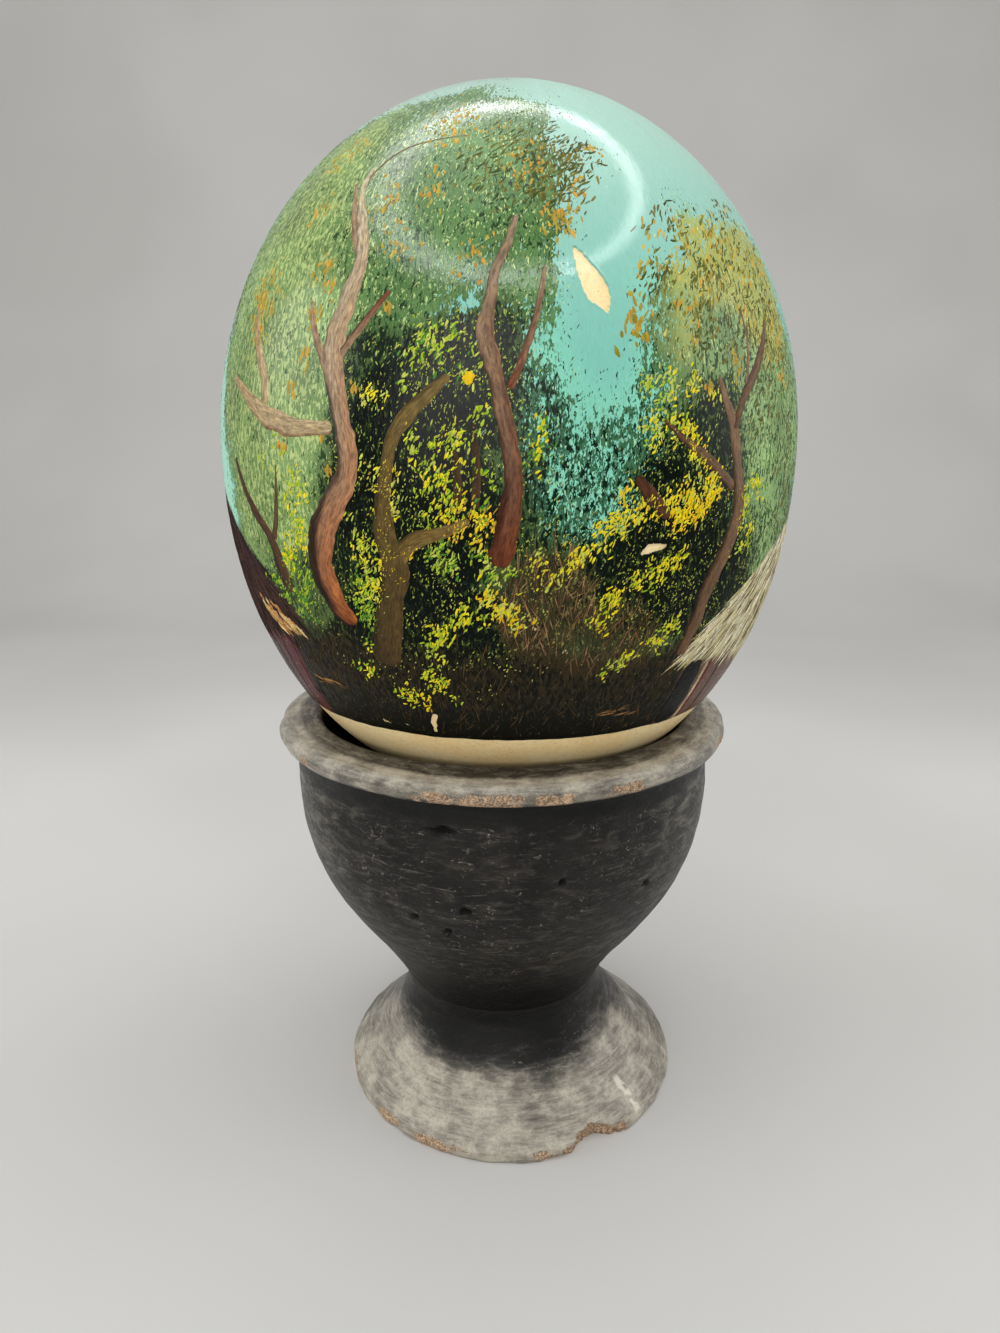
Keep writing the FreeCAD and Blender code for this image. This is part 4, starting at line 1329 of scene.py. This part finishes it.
# Sprays of dabs: path of (azimuth, s), spread in mm, number of dabs, colours.
SPRAYS = (
    (((-24, 7), (-22, 12), (-19, 9)), 1.2, 40, (YELLOW, LIME_PALE)),
    (((-17, 12), (-13, 18), (-8, 20), (-5, 14)), 2.6, 230, (LIME, LIME_PALE, LEAF)),
    (((-16, 4), (-12, 2), (-7, 5), (-4, 9)), 2.4, 190, (LIME, YELLOW, LIME_PALE)),
    (((-14, -4), (-10, -3), (-9, -7), (-13, -8)), 1.7, 150, (YELLOW, LIME, LIME)),
    (((-22, 1), (-20, -3), (-21, -9), (-19, -13)), 2.0, 170, (YELLOW, LIME_PALE, OCHRE)),
    (((-25, -12), (-23, -17), (-24, -22), (-22, -25)), 1.8, 220, (LIME, YELLOW, LIME_PALE)),
    (((-26, -20), (-26, -25), (-23, -31)), 1.8, 130, (LIME, LEAF)),
    (((-20, -15), (-18, -17), (-22, -19)), 1.3, 80, (YELLOW, GOLD)),
    (((-9, -9), (-6, -8), (-4, -11), (-8, -12)), 1.6, 150, (YELLOW, OCHRE, GOLD)),
    (((-12, -16), (-8, -16), (-4, -17), (-1, -19)), 2.2, 190, (LIME, LIME_PALE, LEAF)),
    (((-5, -20), (-3, -23), (0, -26), (3, -28)), 1.8, 190, (YELLOW, GOLD, LIME_PALE)),
    (((-13, -31), (-10, -28), (-6, -26), (-3, -28)), 1.6, 170, (LIME, YELLOW)),
    (((-14, -31), (-13, -35), (-14, -38)), 1.2, 80, (LIME, YELLOW, LIME_PALE)),
    (((-29, -35), (-28, -38), (-28, -41)), 1.3, 80, (LEAF, LIME, YELLOW)),
    (((-21, -42), (-20, -45), (-21, -47)), 1.2, 90, (LIME, YELLOW)),
    (((-15, -40), (-13, -42), (-12, -44)), 1.3, 110, (YELLOW, LIME)),
    (((-17, -46), (-16, -48)), 0.8, 36, (YELLOW, GOLD)),
    (((-3, 1), (-4, -4), (-2, -10)), 1.8, 70, (LEAF, LIME)),
    (((3, 6), (4, 2), (5, 8)), 1.7, 90, (LIME, YELLOW, LEAF)),
    (((4, -15), (5, -19), (7, -19)), 1.2, 50, (YELLOW, LIME_PALE)),
    (((8, -18), (11, -15), (15, -12), (18, -9)), 1.3, 190, (YELLOW, LIME_PALE, YELLOW)),
    (((17, -9.5), (22, -7), (27, -6.5), (31, -5), (35, -3.5)), 1.8, 330, (YELLOW, GOLD, YELLOW, LIME_PALE)),
    (((26, -10), (30, -9), (33, -7), (35, -5)), 1.5, 230, (GOLD, YELLOW)),
    (((20, 3), (24, 6), (28, 6), (31, 3)), 1.5, 170, (YELLOW, LIME, LIME_PALE)),
    (((28, 4), (31, 1), (33, 0)), 0.9, 80, (GOLD, YELLOW)),
    (((20, 12), (22, 14), (25, 12), (23, 9)), 1.2, 80, (LIME, LIME_PALE)),
    (((26, 12), (31, 14), (36, 11)), 2.2, 70, (LIME_PALE, YELLOW)),
    (((13, -31), (16, -26), (20, -22), (25, -19), (30, -17)), 1.6, 330, (YELLOW, LIME, YELLOW)),
    (((18, -40), (22, -36), (27, -33), (31, -31)), 1.4, 240, (YELLOW, LIME, LIME_PALE)),
    (((41, -6), (43, -10), (42, -16)), 1.7, 130, (LIME, YELLOW, LIME_PALE)),
    (((44, -3), (47, -8), (46, -14)), 1.8, 70, (YELLOW, LIME)),
    (((-36, -4), (-38, -9), (-37, -13)), 2.2, 150, (LIME_PALE, YELLOW, LIME)),
    (((-38, -12), (-41, -17), (-43, -22)), 2.2, 210, (LIME, YELLOW, LEAF)),
    (((-37, -20), (-40, -25), (-39, -30)), 2.0, 150, (LEAF, LIME)),
    (((-48, -16), (-47, -22), (-46, -27)), 1.6, 90, (LIME, LEAF)),
    (((-46, -1), (-43, 1), (-40, 0)), 2.6, 60, (LIME_PALE, LIME)),
    (((-96, -20), (-103, -16), (-110, -18)), 2.2, 260, (YELLOW, LIME, LIME_PALE)),
    (((-112, -30), (-118, -25), (-124, -27)), 1.8, 220, (LIME, YELLOW)),
    (((-131, -14), (-138, -18), (-146, -16)), 2.2, 260, (YELLOW, GOLD, LIME)),
    (((-133, -32), (-141, -30), (-150, -33)), 1.8, 200, (LIME, YELLOW)),
    (((-108, -6), (-114, -2), (-121, -6)), 2.0, 160, (LIME, LEAF)),
    (((152, -20), (158, -16), (164, -19)), 1.8, 180, (YELLOW, LIME_PALE)),
    (((128, -12), (134, -8), (141, -12)), 2.2, 240, (YELLOW, GOLD, LIME)),
    (((114, -30), (120, -24), (128, -27)), 1.8, 220, (LIME, YELLOW)),
    (((98, -22), (103, -18), (108, -20)), 1.6, 150, (YELLOW, LIME)),
    (((134, 2), (138, 6), (143, 3)), 2.2, 120, (LIME, LEAF)))

# Ochre and orange touches: azimuth, s, half width of the cluster, number, largest dab length.
TOUCHES = (
    (-42, 58, 3.0, 34, 2.2), (-39, 45, 2.2, 14, 2.6), (-50, 30, 3.6, 60, 2.6), (-49, 24, 2.6, 40, 2.6),
    (-34, 25, 1.2, 12, 3.2), (-35, 18, 0.9, 8, 3.6), (-37.5, 12, 0.9, 8, 3.4), (-33.8, 33, 1.6, 22, 2.4),
    (-31.5, 30, 1.4, 14, 2.4), (-20, 25, 0.7, 8, 3.0), (-24, 44, 3.0, 34, 2.0), (-13, 62, 4.4, 70, 2.0),
    (-15, 47, 2.0, 26, 1.8), (-20, 36, 2.4, 22, 1.6), (7, 40, 2.0, 34, 2.4), (10, 42, 1.3, 18, 2.4),
    (12, 47, 1.2, 14, 1.9), (18, 56, 1.0, 12, 1.6), (3, 52, 3.0, 44, 1.8), (-6, 33, 2.4, 20, 1.8),
    (33, 12.5, 0.6, 7, 3.2), (40, 17, 1.6, 12, 2.6), (56, 16, 2.4, 16, 2.0),
    (-30, -1.5, 0.6, 6, 3.0), (-31, 5, 0.7, 7, 2.6), (-40, 3, 1.6, 14, 2.2), (-24.5, 12, 0.8, 8, 2.0))


# Dark olive clumps in the crowns: azimuth, s, spread in mm, number.
OLIVE_CLUMPS = ((8, 56, 3.0, 70), (11.5, 51, 2.6, 80), (14, 53.5, 2.2, 36), (10, 45, 2.2, 46),
                (5, 47, 3.4, 90), (2, 56, 4.0, 90), (-4, 50, 4.0, 60), (24, 30, 1.8, 34), (30, 40, 2.6, 40),
                (46, 40, 4.0, 60), (36, 34, 3.0, 40), (54, 30, 3.0, 40), (44, 24, 5.0, 90),
                (34, 22, 4.0, 60), (53, 15, 5.0, 80), (46, 8, 4.0, 60), (60, 4, 5.0, 60), (60, -8, 4.0, 50))


def add_leaves():
    lime, yellow, ochre = Strokes(), Strokes(), Strokes()
    for path, spread, count, colours in SPRAYS:
        count = int(count * (0.62 if path[0][1] < -25 else 0.85))
        azimuth, s = clumped(path, 0.72 * spread, count)
        tint = tinted(colours, count)
        length, width, height = sized(count, (0.6, 1.8), (0.26, 0.62), (0.12, 0.26))
        warm = tint[:, 0] > 0.70
        lean = rng.normal(32, 24, count)
        for strokes, pick in ((yellow, warm), (lime, ~warm)):
            if pick.any():
                dabs(strokes, azimuth[pick], s[pick], length[pick], width[pick], lean[pick], height[pick],
                     tint[pick], rims=7)
    azimuth, s = over_egg(2.4, -48.0, 30.0)
    bush = spots(azimuth, s, UNDERSTORY, 57, 0.8)
    for roof in (RIGHT_ROOF, LEFT_ROOF):
        bush = bush * (1.0 - patch(azimuth, s, roof))
    ragged = 0.5 + 0.5 * rough(on_egg(azimuth, s), 4.5, 123, 2)
    chance = bush * ease(ragged, 0.30, 0.75) * (0.62 - 0.34 * ease(-s, 22.0, 34.0))
    pick = rng.uniform(0, 1, len(s)) < chance
    scatter(dabs, lime, azimuth[pick], s[pick], ((0.30, 0.95), (0.18, 0.36), (0.05, 0.12)), (30, 26),
            (LIME, LIME_PALE, linear(196, 190, 110), linear(120, 150, 60), linear(214, 206, 70)), rims=5)
    azimuth, s = np.array([-6.4]), np.array([13.6])
    dabs(yellow, azimuth, s, np.array([2.6]), np.array([2.3]), np.array([8.0]), np.array([0.4]),
         GOLD[None, :], rims=12)
    for middle, level, spread, count, longest in TOUCHES:
        azimuth, s = along_path(((middle, level - spread), (middle, level + spread)), spread * 0.7, count)
        scatter(dabs, ochre, azimuth, s, ((0.7, longest), (0.35, 0.85), (0.12, 0.26)), (0, 16),
                (OCHRE, linear(178, 164, 66), ORANGE, OCHRE), rims=7)
    for middle, level, spread, count in OLIVE_CLUMPS:
        azimuth, s = along_path(((middle - 2, level - spread), (middle + 2, level + spread)),
                                0.8 * spread, count)
        scatter(dabs, ochre, azimuth, s, ((1.2, 3.2), (0.30, 0.70), (0.08, 0.16)), (38, 20),
                (linear(86, 92, 40), linear(66, 80, 36), linear(126, 118, 48), linear(104, 104, 44)),
                rims=7)
    azimuth, s = over_egg(0.62, 5.0, 66.0)
    crown = spots(azimuth, s, CROWN, 59)
    ragged = 0.5 + 0.5 * rough(on_egg(azimuth, s), 3.4, 121, 2)
    pick = (crown > 0.25) & (ragged > 0.58 - 0.14 * crown)
    scatter(dabs, ochre, azimuth[pick], s[pick], ((1.0, 3.4), (0.4, 1.0), (0.06, 0.14)), (24, 18),
            (linear(202, 178, 78), linear(186, 168, 72), linear(204, 160, 62), linear(150, 142, 62),
             linear(116, 118, 54)), 0.24, rims=8)
    count = 26
    azimuth, s = along_path(((20, 24), (18.5, 20), (21, 26)), 1.6, count)
    length, width = sized(count, (1.2, 2.6), (0.7, 1.3), (0.12, 0.24))[:2]
    dabs(ochre, azimuth, s, length, width, rng.normal(0, 15, count), rng.uniform(0.12, 0.24, count),
         tinted((linear(150, 140, 40), OCHRE), count), rims=7)
    lime.build("leaves_lime", 0.3)
    yellow.build("flowers_yellow", 0.25)
    ochre.build("leaves_ochre", 0.3)


add_leaves()

# ---- huts and grass


# Posts, doors and boards of the huts: azimuth, width, lower s, upper s, colour, height in mm.
BOARDS = (
    (40.0, 6.6, -56.8, -39.2, linear(6, 7, 7), 0.10),
    (44.6, 0.9, -56.6, -40.0, linear(216, 196, 166), 0.26),
    (46.0, 1.6, -56.6, -40.6, linear(120, 58, 46), 0.20),
    (51.0, 0.9, -56.6, -41.0, linear(70, 50, 44), 0.16),
    (-50.5, 2.2, -56.6, -36.0, linear(96, 40, 44), 0.14),
    (-55.5, 2.0, -56.6, -37.0, linear(70, 30, 34), 0.12),
    (-62, 5.6, -56.8, -38.0, linear(26, 20, 20), 0.10),
    (181, 4.4, -46.0, -32.0, linear(24, 20, 18), 0.12),
    (171, 0.9, -46.0, -31.0, linear(150, 112, 78), 0.2),
    (190, 0.9, -46.0, -31.0, linear(130, 94, 66), 0.2))
# Thatch of each roof: corners, the point its straws fan out from, straws per square mm, colours.
THATCH = (
    (RIGHT_ROOF, (67, -9), 1.5, (linear(252, 244, 206), linear(236, 222, 172), linear(200, 184, 138),
                                 linear(112, 100, 72), linear(255, 248, 222))),
    (LEFT_ROOF, (-73, -3), 0.9, (linear(60, 44, 40), linear(82, 58, 50), linear(40, 30, 30),
                                 linear(70, 46, 44))),
    (BACK_ROOF, (182, -6), 1.5, (linear(206, 184, 128), linear(176, 150, 98), linear(120, 98, 64))))


def add_huts():
    thatch, timber = Strokes(), Strokes()
    for azimuth, width, low, high, colour, tall in BOARDS:
        path = ((azimuth - 0.5, low, width), (azimuth, (low + high) / 2, width),
                (azimuth + 0.3, high, width * 0.9))
        colours = (colour, colour * 0.85, colour * 0.6, 0.2, colour * 1.25)
        ribbon(timber, path, colours, tall, int(300 + azimuth))
    for corners, apex, density, tints in THATCH:
        low_az, high_az = min(c[0] for c in corners), max(c[0] for c in corners)
        azimuth, s = over_egg(density, -43.0, -5.0, low_az, high_az)
        reach = [(a + 0.06 * (apex[0] - a), v + 0.10 * (apex[1] - v)) for a, v in corners]
        keep = patch(azimuth, s, reach, 0.6) > 0.5
        azimuth, s = azimuth[keep], s[keep]
        radius = radius_at(s)
        lean = np.degrees(np.arctan2(np.radians(azimuth - apex[0]) * radius, -(apex[1] - s)))
        count = len(s)
        length = rng.uniform(4.0, 9.0, count)
        blades(thatch, azimuth, s, length, rng.uniform(0.30, 0.75, count), lean + rng.normal(0, 2.0, count),
               rng.uniform(0.08, 0.20, count), tinted(tints, count, 0.10), rows=7)
    count = 46
    azimuth, s = along_path(((-58, -31), (-52, -32), (-46, -33.5)), 1.0, count)
    blades(thatch, azimuth, s + 1.5, rng.uniform(2.5, 5.0, count), rng.uniform(0.3, 0.6, count),
           rng.normal(128, 8, count), rng.uniform(0.3, 0.45, count),
           tinted((linear(226, 176, 112), linear(196, 140, 84), linear(240, 208, 150)), count), rows=5)
    thatch.build("thatch", 0.45, 0.34)
    timber.build("hut_walls", 0.5, 0.3)


def add_grass():
    grass = Strokes()
    azimuth, s = over_egg(0.75, S_EDGE + 1.0, -12.0)
    here = scenery(azimuth, s)
    keep = rng.uniform(0, 1, len(s)) < (0.95 * here["dry"] + 0.24 * here["ground"]) * (1.0 - here["solid"])
    azimuth, s = azimuth[keep], s[keep]
    dry = here["dry"][keep]
    count = len(s)
    pale = tinted((linear(176, 136, 98), linear(146, 108, 72), linear(104, 72, 50), linear(84, 86, 52),
                   linear(44, 36, 22)), count)
    dull = tinted((linear(70, 58, 34), linear(54, 50, 30), linear(84, 66, 40), linear(44, 46, 28)), count)
    length, width, height = sized(count, (2.0, 6.0), (0.18, 0.42), (0.08, 0.18))
    blades(grass, azimuth, np.maximum(s, S_EDGE + 0.4), length, width, rng.normal(8, 22, count), height,
           blend(dull, pale, dry), rows=4)
    for path, spread, count, lean in (
            (((-46, -44.5), (-38, -45.5)), 0.7, 9, 96), (((18, -50), (26, -50.5)), 0.5, 8, 82)):
        azimuth, s = along_path(path, spread, count)
        scatter(blades, grass, azimuth, s, ((2.0, 5.0), (0.2, 0.35), (0.12, 0.2)), (lean, 6),
                (linear(170, 128, 78), linear(140, 104, 62)), rows=4)
    grass.build("grass", 0.4)


add_huts()
add_grass()

# ------------------------------------------------------------------ shell and membrane


def shell_material():
    p = Paint("egg_shell")
    place = p.millimetres()
    cloud = p.noise(place, 0.10, 4.0, 0.6)
    mottle = p.noise(place, 1.1, 4.0, 0.6)
    pores = p.ramp(p.cells(place, 0.95), 0.03, 0.16)
    cream = p.mix(p.ramp(cloud, 0.32, 0.68), linear(255, 222, 162), linear(255, 234, 184))
    cream = p.mix(p.ramp(mottle, 0.42, 0.70, 0.0, 0.4), cream, linear(232, 196, 128))
    cream = p.mix(pores, linear(150, 116, 70), cream)
    normal = p.bump(p.plus(pores, p.times(mottle, 0.6)), 0.00012, 0.5)
    gloss = p.ramp(mottle, 0.3, 0.7, 0.30, 0.44)
    return p.finish(Base_Color=cream, Roughness=gloss, Normal=normal, IOR=1.5, Subsurface_Weight=0.08,
                    Subsurface_Scale=0.002)


def membrane_material():
    p = Paint("shell_membrane")
    place = p.millimetres()
    fibre = p.noise(place, 0.8, 6.0, 0.7, 1.5)
    wrinkle = p.noise(place, 0.18, 4.0, 0.6, 0.8)
    colour = p.mix(p.ramp(fibre, 0.35, 0.65), linear(216, 200, 168), linear(236, 226, 204))
    colour = p.mix(p.ramp(wrinkle, 0.5, 0.75, 0.0, 0.5), colour, linear(182, 158, 120))
    return p.finish(Base_Color=colour, Roughness=p.ramp(fibre, 0.3, 0.7, 0.6, 0.8),
                    Normal=p.bump(wrinkle, 0.0004, 0.5, p.bump(fibre, 0.0001, 0.5)))


dress(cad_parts["egg_shell"], shell_material())
dress(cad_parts["shell_membrane"], membrane_material())
